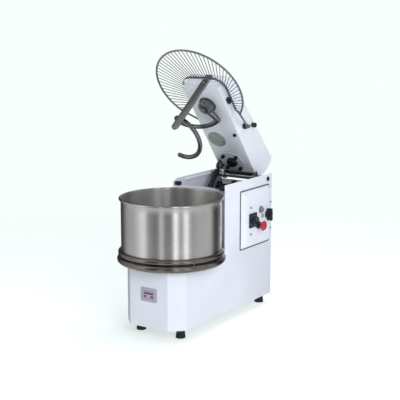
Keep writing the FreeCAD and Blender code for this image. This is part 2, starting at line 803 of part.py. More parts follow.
def coupling_hub():
    """Flange with four pins that drops between the dogs of the column's shaft."""
    flange = rod("coupling_disc", "coupling_flange_thickness", 0, "drive_back", "coupling_flange_low")
    hub = cone("hub_radius - 4", "hub_radius", "pin_length", 0, "drive_back", "coupling_flange_low - pin_length")
    pins = [rod("pin_radius", "pin_length", "pin_circle*cos(%d)" % (45 + 90 * i),
                "drive_back + pin_circle*sin(%d)" % (45 + 90 * i), "coupling_flange_low - pin_length")
            for i in range(4)]
    bore = rod("drive_radius", "coupling_flange_thickness", 0, "drive_back", "coupling_flange_low")
    raised(keep(fuse(cut(flange, bore), hub, *pins), "coupling_hub"))


def spiral_path():
    """Centre line of the spiral rod: a helix that flattens towards its foot."""
    points = []
    steps = 24
    for i in range(steps + 1):
        share = i / steps
        angle = math.radians(size("spiral_start") + size("spiral_sweep") * share)
        drop = (size("spiral_top_z") - size("spiral_low_z")) * math.sin(math.pi / 2 * share)
        points.append(Vector(size("spiral_radius") * math.cos(angle),
                             size("bowl_y") + size("spiral_back") + size("spiral_radius") * math.sin(angle),
                             size("spiral_top_z") - drop))
    return points


def spiral_hook():
    """Hub, arm and rod of the kneading spiral, in one forging."""
    points = spiral_path()
    curve = Part.BSplineCurve()
    curve.interpolate(points)
    start = curve.value(curve.FirstParameter)
    heading = curve.tangent(curve.FirstParameter)[0]
    section = Part.Wire(Part.makeCircle(size("spiral_rod"), start, heading))
    rod_shape = Part.Wire(curve.toShape()).makePipeShell([section], True, True)
    tip = Part.makeSphere(size("spiral_rod") * 1.03, points[-1])
    knuckle = Part.makeSphere(size("spiral_rod") * 1.25, points[0])
    axis = Vector(0, size("bowl_y") + size("spiral_back"), 0)
    hub = Part.makeCylinder(size("spiral_hub_radius"), size("head_floor") - 2 - size("spiral_hub_low"),
                            axis + Vector(0, 0, size("spiral_hub_low")))
    bore = Part.makeCylinder(size("spiral_shaft_radius"), 100,
                             axis + Vector(0, 0, size("spiral_hub_low") + size("arm_height")))
    arm = Part.makeBox(size("spiral_radius"), size("arm_width"), size("arm_height"),
                       Vector(0, -size("arm_width") / 2, 0))
    arm.Placement = Placement(axis + Vector(0, 0, size("spiral_top_z") - size("arm_height") / 2),
                              Rotation(Vector(0, 0, 1), size("spiral_start")))
    whole = hub.fuse([arm, rod_shape, tip, knuckle]).cut(bore)
    raised(keep_shape(whole, "spiral_hook"))


def breaker_bar():
    """Flat stainless bar at the bowl's middle, bolted to the nose."""
    front = "nose_back - bar_thickness"
    blade = middle_block("bar_width", "bar_thickness", "bar_high - bar_low - bar_width/2", "bar_x",
                         "%s + bar_thickness/2" % front, "bar_low + bar_width/2")
    tip = rod("bar_width/2", "bar_thickness", "bar_x", front, "bar_low + bar_width/2", "y")
    raised(keep(fuse(blade, tip), "breaker_bar"))
    bolts = [rod("bar_bolt_radius", "5", "bar_x", "%s - 5" % front, z, "y")
             for z in ("bar_high - 14", "head_floor + 16")]
    raised(keep(group(*bolts), "bar_bolts"))


def head_fittings():
    bosses = []
    for side in ("-1", "1"):
        bosses.append(rod("boss_radius", "boss_length",
                          "%s*(head_half_width + boss_length/2) - boss_length/2" % side,
                          "guard_hinge_back", "guard_hinge_z", "x"))
    bosses.append(block("boss_length", "switch_block_length", "switch_block_length*0.7", "head_half_width",
                        "switch_block_back", "switch_block_z"))
    raised(keep(group(*bosses), "guard_bosses"))
    raised(keep(rod("knob_radius", "knob_length", "head_half_width", "knob_back", "knob_z - knob_radius", "x"),
                "side_knob"))
    ears = []
    for side in ("-1", "1"):
        start = "strut_x + %s*(eye_width/2 + 2 + ear_thickness/2) - ear_thickness/2" % side
        ears.append(fuse(rod("eye_radius", "ear_thickness", start, "strut_top_back", "strut_top_z", "x"),
                         block("ear_thickness", "2*eye_radius", "head_floor - strut_top_z", start,
                               "strut_top_back - eye_radius", "strut_top_z")))
    pin = rod("strut_pin", "eye_width + 4", "strut_x - eye_width/2 - 2", "strut_top_back", "strut_top_z", "x")
    raised(keep(fuse(pin, *ears), "strut_lug"))


# ---------------------------------------------------------------- guard
def guard_arc(angle):
    """A spot on the outer ring, measured from the front middle towards +X."""
    radius = size("bowl_radius") - size("guard_inset")
    return Vector(radius * math.sin(angle), size("bowl_y") - radius * math.cos(angle), size("guard_z"))


def pipe(points, radius):
    """Round bar along straight runs joined by balls."""
    solids = []
    for a, b in zip(points, points[1:]):
        solids.append(Part.makeCylinder(radius, (b - a).Length, a, b - a))
    for p in points:
        solids.append(Part.makeSphere(radius, p))
    return solids


def guard():
    gap = math.radians(size("guard_gap_angle"))
    wire = size("guard_wire")
    first, last = guard_arc(-(math.pi - gap)), guard_arc(math.pi - gap)
    path = Part.Wire(Part.Arc(first, guard_arc(0), last).toShape())
    heading = Vector(last.y - size("bowl_y"), -last.x, 0)
    section = Part.Wire(Part.makeCircle(wire, last, heading))
    hoop = path.makePipeShell([section], True, True)
    hinge = Vector(size("head_half_width") + size("boss_length"), size("bowl_y") + size("guard_hinge_back"),
                   size("guard_hinge_z"))
    solids = [hoop]
    for side in (-1, 1):
        end = guard_arc(side * (math.pi - gap))
        eye = Vector(side * (hinge.x + size("arm_wire") + size("seam")), hinge.y, hinge.z)
        solids += pipe([end, eye], size("arm_wire"))
    raised(keep_shape(solids[0].fuse(solids[1:]), "guard_ring"))

    half, thick = band_half_width(), size("band_thickness")
    front = size("bowl_y") + size("band_front_back")
    rear = size("bowl_y") + size("band_rear_back")
    level = size("guard_z") + size("guard_rise")
    outer = bent_sheet(half + thick / 2, front - thick / 2, rear, size("band_corner") + thick / 2, level)
    inner = bent_sheet(half - thick / 2, front + thick / 2, rear + 1,
                       size("band_corner") - thick / 2, level)
    band = outer.cut(inner)
    ties = []
    for side in (-1, 1):
        end = Vector(side * half, rear - size("arm_wire"), level)
        ties += pipe([guard_arc(side * (math.pi - gap)), end], size("arm_wire") * 0.8)
    raised(keep_shape(band.fuse(ties), "guard_band"))

    wires = []
    count = int(size("grill_count"))
    reach = math.pi - gap
    for i in range(count):
        share = -1 + (2 * i + 1) / count
        outer_end = guard_arc(reach * share)
        inner_end = band_spot(share)
        wires.append(Part.makeCylinder(size("grill_wire"), (inner_end - outer_end).Length, outer_end,
                                       inner_end - outer_end))
    raised(keep_shape(Part.makeCompound(wires), "guard_wires"))


def band_half_width():
    return size("head_half_width") + size("band_clearance")


def bent_sheet(half, front, rear, corner, level):
    """A block with its two front upright edges rounded."""
    height = size("band_height")
    solid = Part.makeBox(2 * half, rear - front, height, Vector(-half, front, level - height / 2))
    edges = [e for e in solid.Edges
             if abs(e.Vertexes[0].Y - front) < 0.01
             and abs(e.Vertexes[0].Z - e.Vertexes[-1].Z) > height / 2]
    return solid.makeFillet(corner, edges)


def band_spot(share):
    """A spot on the inner band: 0 is the front middle, -1 and 1 are its rear ends."""
    half, corner = band_half_width(), size("band_corner")
    front, rear = size("band_front_back"), size("band_rear_back")
    runs = (half - corner, corner * math.pi / 2, rear - front - corner)
    along = abs(share) * sum(runs)
    if along <= runs[0]:
        x, back = along, front
    elif along <= runs[0] + runs[1]:
        angle = (along - runs[0]) / corner
        x, back = half - corner + corner * math.sin(angle), front + corner - corner * math.cos(angle)
    else:
        x, back = half, front + corner + along - runs[0] - runs[1]
    return Vector(x if share > 0 else -x, size("bowl_y") + back, size("guard_z") + size("guard_rise"))


# ---------------------------------------------------------------- gas strut
def strut():
    """Gas strut from the column's bracket to the head's lug, drawn at the raised pose."""
    lift = math.radians(size("head_raise"))
    pivot = Vector(0, size("bowl_y") + size("pivot_back"), size("pivot_z"))
    arm = Vector(size("strut_x"), size("bowl_y") + size("strut_top_back"), size("strut_top_z")) - pivot
    top = pivot + Vector(arm.x, arm.y * math.cos(lift) + arm.z * math.sin(lift),
                         -arm.y * math.sin(lift) + arm.z * math.cos(lift))
    low = Vector(size("strut_x"), size("bowl_y") + size("strut_low_back"), size("strut_low_z"))
    way = (top - low).normalize()
    across = Vector(1, 0, 0)
    width = size("eye_width")

    def eye(at, bore):
        start = at - across * width / 2
        solid = Part.makeCylinder(size("eye_radius"), width, start, across)
        return solid, Part.makeCylinder(bore, width, start, across)

    top_eye, top_bore = eye(top, size("eye_bore"))
    can = Part.makeCylinder(size("strut_radius"), size("strut_length") - size("strut_neck"),
                            top - way * size("strut_length"), way)
    neck = Part.makeCylinder(size("strut_rod_radius"), size("strut_neck") - size("eye_bore"),
                             top - way * size("strut_neck"), way)
    bore = Part.makeCylinder(size("strut_rod_radius") + size("running"),
                             size("strut_length") - size("strut_neck") - 10,
                             top - way * size("strut_length"), way)
    keep_shape(can.fuse([neck, top_eye]).cut([bore, top_bore]), "strut_cylinder")
    low_eye, low_bore = eye(low, size("strut_pin") + size("running"))
    reach = (top - low).Length - size("strut_length") + 48
    stem = Part.makeCylinder(size("strut_rod_radius"), reach, low, way)
    keep_shape(stem.fuse(low_eye).cut(low_bore), "strut_rod")
    plates = []
    for side in ("-1", "1"):
        start = "strut_x + %s*(eye_width/2 + 2 + ear_thickness/2) - ear_thickness/2" % side
        plates.append(fuse(rod("eye_radius", "ear_thickness", start, "strut_low_back", "strut_low_z", "x"),
                           block("ear_thickness", "2*eye_radius", "40", start,
                                 "strut_low_back - eye_radius", "strut_low_z - 40")))
    shelf = cut(block("eye_width + 4 + 2*ear_thickness", "strut_low_back + eye_radius", "6",
                      "strut_x - eye_width/2 - 2 - ear_thickness", "0", "strut_low_z - 46"),
                rod(CLEAR_RADIUS + " + skin", "strut_low_z", 0, 0, 0))
    pin = rod("strut_pin", "eye_width + 4", "strut_x - eye_width/2 - 2", "strut_low_back", "strut_low_z", "x")
    keep(fuse(shelf, pin, *plates), "strut_bracket")


# ---------------------------------------------------------------- controls
PANEL_X = "base_width/2 + panel_depth"


def control_box():
    """Raised cover with bevelled edges on the column's right side."""
    outer = new("Wedge")
    width = "panel_rear_back - panel_front_back"
    height = "panel_high - panel_low"
    bind(outer, Xmin="0", Xmax=height, Ymin="0", Ymax="panel_depth", Zmin="0", Zmax=width,
         X2min="panel_bevel", X2max="%s - panel_bevel" % height,
         Z2min="panel_bevel", Z2max="%s - panel_bevel" % width)
    inner = new("Wedge")
    bind(inner, Xmin="panel_sheet", Xmax="%s - panel_sheet" % height,
         Ymin="0", Ymax="panel_depth - panel_sheet",
         Zmin="panel_sheet", Zmax="%s - panel_sheet" % width,
         X2min="panel_bevel + panel_sheet/2", X2max="%s - panel_bevel - panel_sheet/2" % height,
         Z2min="panel_bevel + panel_sheet/2", Z2max="%s - panel_bevel - panel_sheet/2" % width)
    lid = cut(outer, inner)
    # the wedge's X, Y and Z run up, outwards (+X) and rearwards (+Y)
    lid.Placement = Placement(Vector(), Rotation(Vector(0, 0, 1), Vector(1, 0, 0), Vector(0, 1, 0), "XYZ"))
    bind(lid, Placement__Base__x="base_width/2", Placement__Base__y="bowl_y + panel_front_back",
         Placement__Base__z="panel_low")
    keep(group(lid), "control_box")
    corners = [(y, z) for y in ("panel_front_back + 48", "panel_rear_back - 14 - panel_bevel + 22")
               for z in ("panel_low + 53", "panel_high - 64")]
    keep(group(*[rod("screw_radius", "2", PANEL_X, y, z, "x") for y, z in corners]), "control_screws")


def controls():
    keep(middle_block("bezel_depth", "bezel_width", "bezel_height", PANEL_X + " + bezel_depth/2",
                      "bezel_back", "bezel_z - bezel_height/2"), "timer_bezel")
    keep(rod("timer_radius", "timer_depth", PANEL_X + " + bezel_depth + seam", "bezel_back", "bezel_z", "x"),
         "timer_knob")
    keep(tube("stop_collar_radius", "stop_stem_radius + seam", "stop_collar_depth", PANEL_X, "stop_back",
              "stop_z", "x"), "stop_collar")
    stem = rod("stop_stem_radius", "stop_collar_depth + stop_stem_depth - stop_travel",
               PANEL_X + " + stop_travel + 1",
               "stop_back", "stop_z", "x")
    head = cone("stop_head_radius - 4", "stop_head_radius", "stop_head_depth/2",
                PANEL_X + " + stop_collar_depth + stop_stem_depth", "stop_back", "stop_z", "x")
    dome = cone("stop_head_radius", "stop_head_radius - 5", "stop_head_depth/2",
                PANEL_X + " + stop_collar_depth + stop_stem_depth + stop_head_depth/2",
                "stop_back", "stop_z", "x")
    keep(fuse(stem, head, dome), "stop_button")
    keep(rod("start_radius", "start_depth", PANEL_X + " + start_travel + seam", "start_back", "start_z", "x"),
         "start_button")
    knob = fuse(cone("speed_radius", "speed_radius - 2", "speed_depth/3", PANEL_X + " + seam", "speed_back",
                     "speed_z", "x"),
                middle_block("speed_depth", "speed_grip_width", "speed_grip_length",
                             PANEL_X + " + seam + speed_depth/2", "speed_back",
                             "speed_z - speed_grip_length/2"))
    keep(knob, "speed_knob")
    keep(rod("lamp_radius", "lamp_depth", PANEL_X, "lamp_back", "lamp_z", "x"), "pilot_lamp")
    keep(block("electrics_width", "electrics_length", "electrics_height",
               "base_width/2 - skin - seam - electrics_width", "panel_front_back + 20", "panel_low"),
         "electrical_box")


sheet.set("B%d" % (row + 1), "0")
sheet.setAlias("B%d" % (row + 1), "bowl_zero")
doc.recompute()

body_shell()
rear_cover()
floor_plate()
feet()
badge_plate()
cable_gland()
corner_caps()
hinge()
turntable()
bowl()
lower_drive()
head_cover()
head_plate()
hinge_lugs()
upper_drive()
coupling_hub()
spiral_hook()
breaker_bar()
head_fittings()
guard()
strut()
control_box()
controls()

doc.recompute()

faults = []
for thing in doc.Objects:
    if "Invalid" in thing.State or "Error" in thing.State:
        faults.append("%s (%s) is %s" % (thing.Name, thing.Label, thing.State))
for thing in NODES:
    if thing.Shape.isNull() or not thing.Shape.isValid() or not thing.Shape.Solids:
        faults.append("%s has no valid solid" % thing.Label)
if faults:
    raise RuntimeError("; ".join(faults))

os.makedirs("parts", exist_ok=True)
for thing in NODES:
    thing.Shape.exportStep("parts/%s.step" % thing.Label)
print(len(NODES), "sub-parts written")
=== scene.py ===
"""Looks of a spiral dough mixer with a lifting head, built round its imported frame.

Pieces are drawn in millimetres: x across, y rearwards from the bowl's axis, z up
from the floor, with the head level. LEVEL puts a fixed piece in its place and
RAISED does the same for a piece of the head, turned up about the hinge pin.
"""
import json
import math

import bmesh
import bpy
from mathutils import Matrix, Vector


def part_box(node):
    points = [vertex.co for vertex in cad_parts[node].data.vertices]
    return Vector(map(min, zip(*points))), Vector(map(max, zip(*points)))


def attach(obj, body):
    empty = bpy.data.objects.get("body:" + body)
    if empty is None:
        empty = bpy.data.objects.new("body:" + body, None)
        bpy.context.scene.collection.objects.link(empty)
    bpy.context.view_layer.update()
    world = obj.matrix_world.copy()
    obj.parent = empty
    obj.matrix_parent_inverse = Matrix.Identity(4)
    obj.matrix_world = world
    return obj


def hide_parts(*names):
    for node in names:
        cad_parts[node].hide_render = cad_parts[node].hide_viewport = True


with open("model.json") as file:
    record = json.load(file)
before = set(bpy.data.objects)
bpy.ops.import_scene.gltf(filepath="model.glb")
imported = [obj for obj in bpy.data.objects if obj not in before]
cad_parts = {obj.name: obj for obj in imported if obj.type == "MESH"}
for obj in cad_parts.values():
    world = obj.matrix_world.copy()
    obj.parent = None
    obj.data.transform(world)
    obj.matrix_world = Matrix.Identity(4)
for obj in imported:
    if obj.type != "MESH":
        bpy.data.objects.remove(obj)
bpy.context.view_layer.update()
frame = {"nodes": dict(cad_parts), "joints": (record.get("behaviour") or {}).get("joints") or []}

MM = 0.001
JOINTS = {joint["name"]: joint for joint in frame["joints"]}
HINGE = Vector(JOINTS["head_tilt"]["pos_m"])
HEAD_RAISE = math.radians(JOINTS["head_tilt"]["range_deg"][1])
BOWL_Y = JOINTS["turntable_spin"]["pos_m"][1]
LEVEL = Matrix.Translation((0, BOWL_Y, 0)) @ Matrix.Scale(MM, 4)
RAISED = (Matrix.Translation(HINGE) @ Matrix.Rotation(-HEAD_RAISE, 4, "X") @ Matrix.Translation(-HINGE)
          @ LEVEL)
AS_CAD = Matrix.Identity(4)
FACE_RIGHT = Matrix.Rotation(math.radians(90), 4, "Y")
FACE_LEFT = Matrix.Rotation(math.radians(-90), 4, "Y")
FACE_FRONT = Matrix.Rotation(math.radians(90), 4, "X")
FACE_REAR = Matrix.Rotation(math.radians(-90), 4, "X")

# sizes in millimetres, as the frame has them; SPIRAL_START, SPIRAL_SWEEP and GUARD_GAP are degrees
BASE_TOP = 228
BOWL_RADIUS = 177.6
BOWL_WALL = 1.5
BOWL_FOOT = 261.4
BOWL_TOP = 477
BOWL_CORNER = 20
RIM_TUBE = 4
SKIRT_RADIUS = 178.6
SKIRT_TUBE = 10
SKIRT_Z = 286.5
DISH_RADIUS = 180
DISH_TUBE = 12.5
DISH_Z = 263
DISH_PLATE_LOW = 255
DISH_PLATE_HIGH = 261
DISH_ROOM = 178
LOCK_PIN_CIRCLE = 183
HEAD_FLOOR = 493
HEAD_HALF_WIDTH = 77
SPIRAL_BACK = 84
SPIRAL_RADIUS = 66
SPIRAL_ROD = 8
SPIRAL_TOP = 474
SPIRAL_LOW = 285
SPIRAL_START = 60
SPIRAL_SWEEP = 420
SPIRAL_HUB_RADIUS = 28
SPIRAL_HUB_LOW = 465
SPIRAL_HUB_TOP = 491
DRIVE_BACK = 371
GUARD_RADIUS = 172
GUARD_WIRE = 3.5
GUARD_Z = 487
GUARD_RISE = 30
GUARD_GAP = 48
GUARD_HINGE = (93.4, 228, 540)
GRILL_COUNT = 46
GRILL_WIRE = 1.3
BAND_HALF_WIDTH = 92
BAND_FRONT = -21
BAND_REAR = 128
BAND_CORNER = 48
SIDE_KNOB = (77, 266, 587)
KNOB_RADIUS = 9
KNOB_LENGTH = 16


# ---------------------------------------------------------------- materials
def colour(code):
    """Linear colour of an sRGB hex value."""
    shares = [int(code[i:i + 2], 16) / 255 for i in (1, 3, 5)]
    linear = [s / 12.92 if s <= 0.04045 else ((s + 0.055) / 1.055) ** 2.4 for s in shares]
    return (*linear, 1)


RGBA = {"data_type": "RGBA"}


def add(tree, kind, settings=None, **inputs):
    """Add a node. An input is a value or another node's socket, and i6 means input number 6."""
    node = tree.nodes.new("ShaderNode" + kind)
    for name, value in (settings or {}).items():
        setattr(node, name, value)
    for name, value in inputs.items():
        numbered = name[0] == "i" and name[1:].isdigit()
        socket = node.inputs[int(name[1:]) if numbered else name.replace("_", " ")]
        if isinstance(value, bpy.types.NodeSocket):
            tree.links.new(value, socket)
        else:
            socket.default_value = value
    return node


def new_material(name):
    """An empty material, its node tree and its Object coordinates in metres."""
    material = bpy.data.materials.new(name)
    material.use_nodes = True
    tree = material.node_tree
    tree.nodes.clear()
    return material, tree, add(tree, "TexCoord").outputs["Object"]


def shaded(material, tree, **inputs):
    """Close a material with its one Principled shader."""
    shader = add(tree, "BsdfPrincipled", **inputs)
    add(tree, "OutputMaterial", Surface=shader.outputs["BSDF"])
    return material


def powder_coat(name, pale, deep, roughness):
    """Polyester powder, sprayed and baked: fine orange peel, and a faint cloud in its tone."""
    cloud_mm, peel_mm, peel_depth_mm = 260, 3.2, 0.05
    material, tree, place = new_material(name)
    cloud = add(tree, "TexNoise", Vector=place, Scale=1 / (cloud_mm * MM), Detail=2, Roughness=0.55)
    share = add(tree, "MapRange", Value=cloud.outputs["Fac"], From_Min=0.35, From_Max=0.65)
    tone = add(tree, "Mix", RGBA, i0=share.outputs["Result"], i6=colour(pale), i7=colour(deep))
    peel = add(tree, "TexNoise", Vector=place, Scale=1 / (peel_mm * MM), Detail=1, Roughness=0.55)
    gloss = add(tree, "MapRange", Value=peel.outputs["Fac"], To_Min=roughness - 0.04, To_Max=roughness + 0.06)
    bump = add(tree, "Bump", Height=peel.outputs["Fac"], Distance=peel_depth_mm * MM, Strength=0.35)
    return shaded(material, tree, Base_Color=tone.outputs[2], Roughness=gloss.outputs["Result"],
                  Normal=bump.outputs["Normal"], IOR=1.5, Coat_Weight=0.15, Coat_Roughness=0.2)


def rubbed_stainless(name, pale, deep, roughness, anisotropic=0.0):
    """Rolled stainless, rubbed round its axis: level hairlines draw its reflections out upright.

    Real hairlines are too fine to show, so these are 1 mm high and 60 mm long.
    """
    hairline_mm, hairline_squeeze, cloud_mm, depth_mm = 60, 60, 70, 0.01
    material, tree, place = new_material(name)
    squeezed = add(tree, "Mapping", Vector=place, Scale=(1, 1, hairline_squeeze))
    hairlines = add(tree, "TexNoise", Vector=squeezed.outputs["Vector"], Scale=1 / (hairline_mm * MM),
                    Detail=4, Roughness=0.6)
    cloud = add(tree, "TexNoise", Vector=place, Scale=1 / (cloud_mm * MM), Detail=2, Roughness=0.55)
    share = add(tree, "MapRange", Value=cloud.outputs["Fac"], From_Min=0.3, From_Max=0.7)
    tone = add(tree, "Mix", RGBA, i0=share.outputs["Result"], i6=colour(pale), i7=colour(deep))
    gloss = add(tree, "MapRange", Value=hairlines.outputs["Fac"], From_Min=0.3, From_Max=0.7,
                To_Min=roughness * 0.8, To_Max=roughness * 1.25)
    bump = add(tree, "Bump", Height=hairlines.outputs["Fac"], Distance=depth_mm * MM, Strength=0.08)
    return shaded(material, tree, Base_Color=tone.outputs[2], Roughness=gloss.outputs["Result"],
                  Normal=bump.outputs["Normal"], Metallic=1.0, Anisotropic=anisotropic,
                  Anisotropic_Rotation=0.25)


def linished_bar(name, pale, deep, roughness, turn):
    """Stainless flat bar drawn over a belt: straight scratches along its length, drawn coarse to show."""
    scratch_mm, scratch_stretch, depth_mm = 1.2, 0.03, 0.02
    material, tree, place = new_material(name)
    level = add(tree, "Mapping", Vector=place, Rotation=turn)
    drawn = add(tree, "Mapping", Vector=level.outputs["Vector"], Scale=(1, 1, scratch_stretch))
    lines = add(tree, "TexNoise", Vector=drawn.outputs["Vector"], Scale=1 / (scratch_mm * MM), Detail=3,
                Roughness=0.6)
    share = add(tree, "MapRange", Value=lines.outputs["Fac"], From_Min=0.3, From_Max=0.7)
    tone = add(tree, "Mix", RGBA, i0=share.outputs["Result"], i6=colour(pale), i7=colour(deep))
    gloss = add(tree, "MapRange", Value=lines.outputs["Fac"], To_Min=roughness - 0.07, To_Max=roughness + 0.1)
    bump = add(tree, "Bump", Height=lines.outputs["Fac"], Distance=depth_mm * MM, Strength=0.4)
    return shaded(material, tree, Base_Color=tone.outputs[2], Roughness=gloss.outputs["Result"],
                  Normal=bump.outputs["Normal"], Metallic=1.0)


def worked_metal(name, pale, deep, roughness, lump_mm, depth_mm, metallic=1.0):
    """Metal with a worked skin of lumps: drawn, forged, plated, blackened, painted or cast."""
    material, tree, place = new_material(name)
    skin = add(tree, "TexNoise", Vector=place, Scale=1 / (lump_mm * MM), Detail=4, Roughness=0.55)
    share = add(tree, "MapRange", Value=skin.outputs["Fac"], From_Min=0.35, From_Max=0.65)
    tone = add(tree, "Mix", RGBA, i0=share.outputs["Result"], i6=colour(pale), i7=colour(deep))
    gloss = add(tree, "MapRange", Value=skin.outputs["Fac"], To_Min=roughness - 0.06, To_Max=roughness + 0.1)
    bump = add(tree, "Bump", Height=skin.outputs["Fac"], Distance=depth_mm * MM, Strength=0.5)
    return shaded(material, tree, Base_Color=tone.outputs[2], Roughness=gloss.outputs["Result"],
                  Normal=bump.outputs["Normal"], Metallic=metallic)


def moulded(name, pale, deep, roughness, depth_mm=0.03, ior=1.5, coat=0.0):
    """Moulded plastic or rubber: the even grain of its tool, and handling that dulls it in patches.

    The real grain is about 0.2 mm across, too fine to show, so it is drawn coarser.
    """
    grain_mm, wear_mm = 0.9, 22
    material, tree, place = new_material(name)
    skin = add(tree, "TexNoise", Vector=place, Scale=1 / (grain_mm * MM), Detail=2, Roughness=0.55)
    wear = add(tree, "TexNoise", Vector=place, Scale=1 / (wear_mm * MM), Detail=3, Roughness=0.55)
    share = add(tree, "MapRange", Value=wear.outputs["Fac"], From_Min=0.4, From_Max=0.75)
    tone = add(tree, "Mix", RGBA, i0=share.outputs["Result"], i6=colour(pale), i7=colour(deep))
    gloss = add(tree, "MapRange", Value=wear.outputs["Fac"], To_Min=roughness - 0.05, To_Max=roughness + 0.08)
    bump = add(tree, "Bump", Height=skin.outputs["Fac"], Distance=depth_mm * MM, Strength=0.4)
    return shaded(material, tree, Base_Color=tone.outputs[2], Roughness=gloss.outputs["Result"],
                  Normal=bump.outputs["Normal"], IOR=ior, Coat_Weight=coat, Coat_Roughness=0.08)


def lamp_lens(name):
    """Polycarbonate lens with moulded pips, over a pale green diffuser."""
    pip_mm, depth_mm = 2.5, 0.2
    material, tree, place = new_material(name)
    pips = add(tree, "TexVoronoi", Vector=place, Scale=1 / (pip_mm * MM))
    share = add(tree, "MapRange", Value=pips.outputs["Distance"], From_Max=0.7)
    tone = add(tree, "Mix", RGBA, i0=share.outputs["Result"], i6=colour("#E8F4EC"), i7=colour("#A9CDB4"))
    bump = add(tree, "Bump", Height=pips.outputs["Distance"], Distance=depth_mm * MM, Strength=0.4)
    return shaded(material, tree, Base_Color=tone.outputs[2], Normal=bump.outputs["Normal"], IOR=1.58,
                  Roughness=0.12, Transmission_Weight=0.35)


# folded sheet under white powder: an even satin that takes the colour of the daylight
WHITE_COAT = powder_coat("powder_coated_steel_white", "#E9ECF6", "#E2E5F1", 0.36)
# the head's underside, in the body's white powder made slightly deeper as painted shade, and flatter
UNDERSIDE_COAT_PAINTED_SHADE = powder_coat("white_powder_with_painted_shade", "#E2E5EE", "#D9DCE7", 0.42)
# stainless bowl: upright bands of light and dark outside, a satin ring of grey inside in a paler tone that is
# painted light to brighten it
BOWL_STEEL = rubbed_stainless("polished_stainless_bowl", "#CBCAC8", "#C2C1C0", 0.25, 0.95)
BOWL_INSIDE_PAINTED_PALER = rubbed_stainless("satin_stainless_bowl_inside_painted_paler", "#D6D5D2", "#CBCAC8", 0.46, 0.97)
# spun beads: tighter, and darker and browner than the bowl as a painted reflection of dark surroundings, with
# sharp lines of light along them
BEAD_STEEL_PAINTED_DARK = rubbed_stainless("stainless_bead_with_painted_dark_reflection", "#8A8681", "#726E6A", 0.2)
# stainless wire and bar, dull from drawing and from the belt
WIRE_STEEL = worked_metal("bright_drawn_stainless_wire", "#9B9DA1", "#85888C", 0.36, 2.5, 0.02)
BAR_STEEL = linished_bar("linished_stainless_bar", "#AFAFAD", "#969795", 0.42, (HEAD_RAISE, 0, 0))
# forged stainless, buffed over its hammer marks: dark as a painted reflection of dark surroundings, with
# broken highlights
SPIRAL_STEEL_PAINTED_DARK = worked_metal("forged_stainless_painted_dark_reflection", "#8E8F91", "#6B6C6F", 0.24, 14, 0.12)
# ground pins and rods: clean grey shine
GROUND_STEEL = worked_metal("ground_steel", "#A5A6A8", "#8F9092", 0.3, 3, 0.02)
# zinc plate: cloudy grey on brackets and screws; almost white and less metallic on the coupling's flange,
# where the paleness is a painted reflection of bright light
ZINC_STEEL = worked_metal("zinc_plated_steel", "#A9ABB0", "#8E9095", 0.4, 9, 0.02)
ZINC_PAINTED_PALE = worked_metal("zinc_with_painted_pale_reflection", "#D3D6DC", "#C2C5CC", 0.5, 9, 0.02, 0.35)
# oiled and blackened steel: near black with a soft shine
BLACK_STEEL = worked_metal("blackened_steel", "#34353A", "#1F2023", 0.42, 5, 0.04, 0.85)
# sand castings under grey paint: dull and pebbled
CASTING = worked_metal("grey_painted_casting", "#62666C", "#4B4F55", 0.5, 4, 0.25, 0.1)
# a steel disc darker than the sheet round it: green-grey and patchy
COVER_GREY = worked_metal("green_grey_disc", "#9FA39C", "#8C9189", 0.45, 12, 0.02, 0.2)
# sintered bronze: warm and grainy
BRONZE = worked_metal("sintered_bronze", "#B08448", "#8F6733", 0.45, 1.5, 0.03)
# the strut's can: glossy black lacquer
BLACK_LACQUER = worked_metal("black_lacquered_tube", "#1D1F27", "#14151B", 0.28, 6, 0.02, 0.2)
# anodised plate: fine violet-grey satin
PLATE_METAL = worked_metal("satin_anodised_plate", "#B9B7C6", "#A9A7B8", 0.42, 0.8, 0.01, 0.35)
# moulded ABS: satin black and grey on the controls and caps, wet-looking red on the stop button
BLACK_ABS = moulded("black_moulded_abs", "#1D1F26", "#14151A", 0.42)
GREY_ABS = moulded("grey_moulded_abs", "#868B95", "#777C86", 0.36)
RED_ABS = moulded("red_glossy_abs", "#B81D33", "#A4152A", 0.22, 0.01, 1.5, 0.4)
# nitrile rubber: flat black feet, and a slate grey for the spiral's seal, also used as painted shade in the
# gap round the control cover
RUBBER = moulded("black_nitrile_rubber", "#1B1C1E", "#111213", 0.72, 0.08, 1.52)
SEAL_AND_GAP_SHADE = moulded("dark_grey_seal_and_painted_gap_shade", "#4A4D57", "#3C3F48", 0.6, 0.03, 1.52)
# ink: flat, and hardly raised
PRINT_WHITE = moulded("white_pad_print", "#D9DBDF", "#CFD1D6", 0.5, 0.01)
PRINT_RED = moulded("wine_red_screen_print", "#7A3B4B", "#6B303F", 0.45, 0.01)
PRINT_DARK = moulded("slate_screen_print", "#5A5364", "#4B4555", 0.45, 0.01)
# clear plastic: a small bright lens
LENS = lamp_lens("clear_lamp_lens")


# ---------------------------------------------------------------- shaping
def arc(x, z, radius, start, end, steps):
    """Points on an arc; angles in degrees, from +x towards +z."""
    turns = [math.radians(start + (end - start) * i / steps) for i in range(steps + 1)]
    return [(x + radius * math.cos(turn), z + radius * math.sin(turn)) for turn in turns]


def lathe(outline, segments=96):
    """A solid spun about z from radius, height points; it closes on the axis or on itself."""
    bm = bmesh.new()
    verts = [bm.verts.new((radius, 0, z)) for radius, z in outline]
    pairs = list(zip(verts, verts[1:]))
    if outline[0][0] > 0.001:
        pairs.append((verts[-1], verts[0]))
    edges = [bm.edges.new(pair) for pair in pairs]
    bmesh.ops.spin(bm, geom=verts + edges, cent=(0, 0, 0), axis=(0, 0, 1), angle=math.tau,
                   steps=segments, use_merge=True)
    bmesh.ops.remove_doubles(bm, verts=bm.verts, dist=0.001)
    bmesh.ops.recalc_face_normals(bm, faces=bm.faces)
    return bm


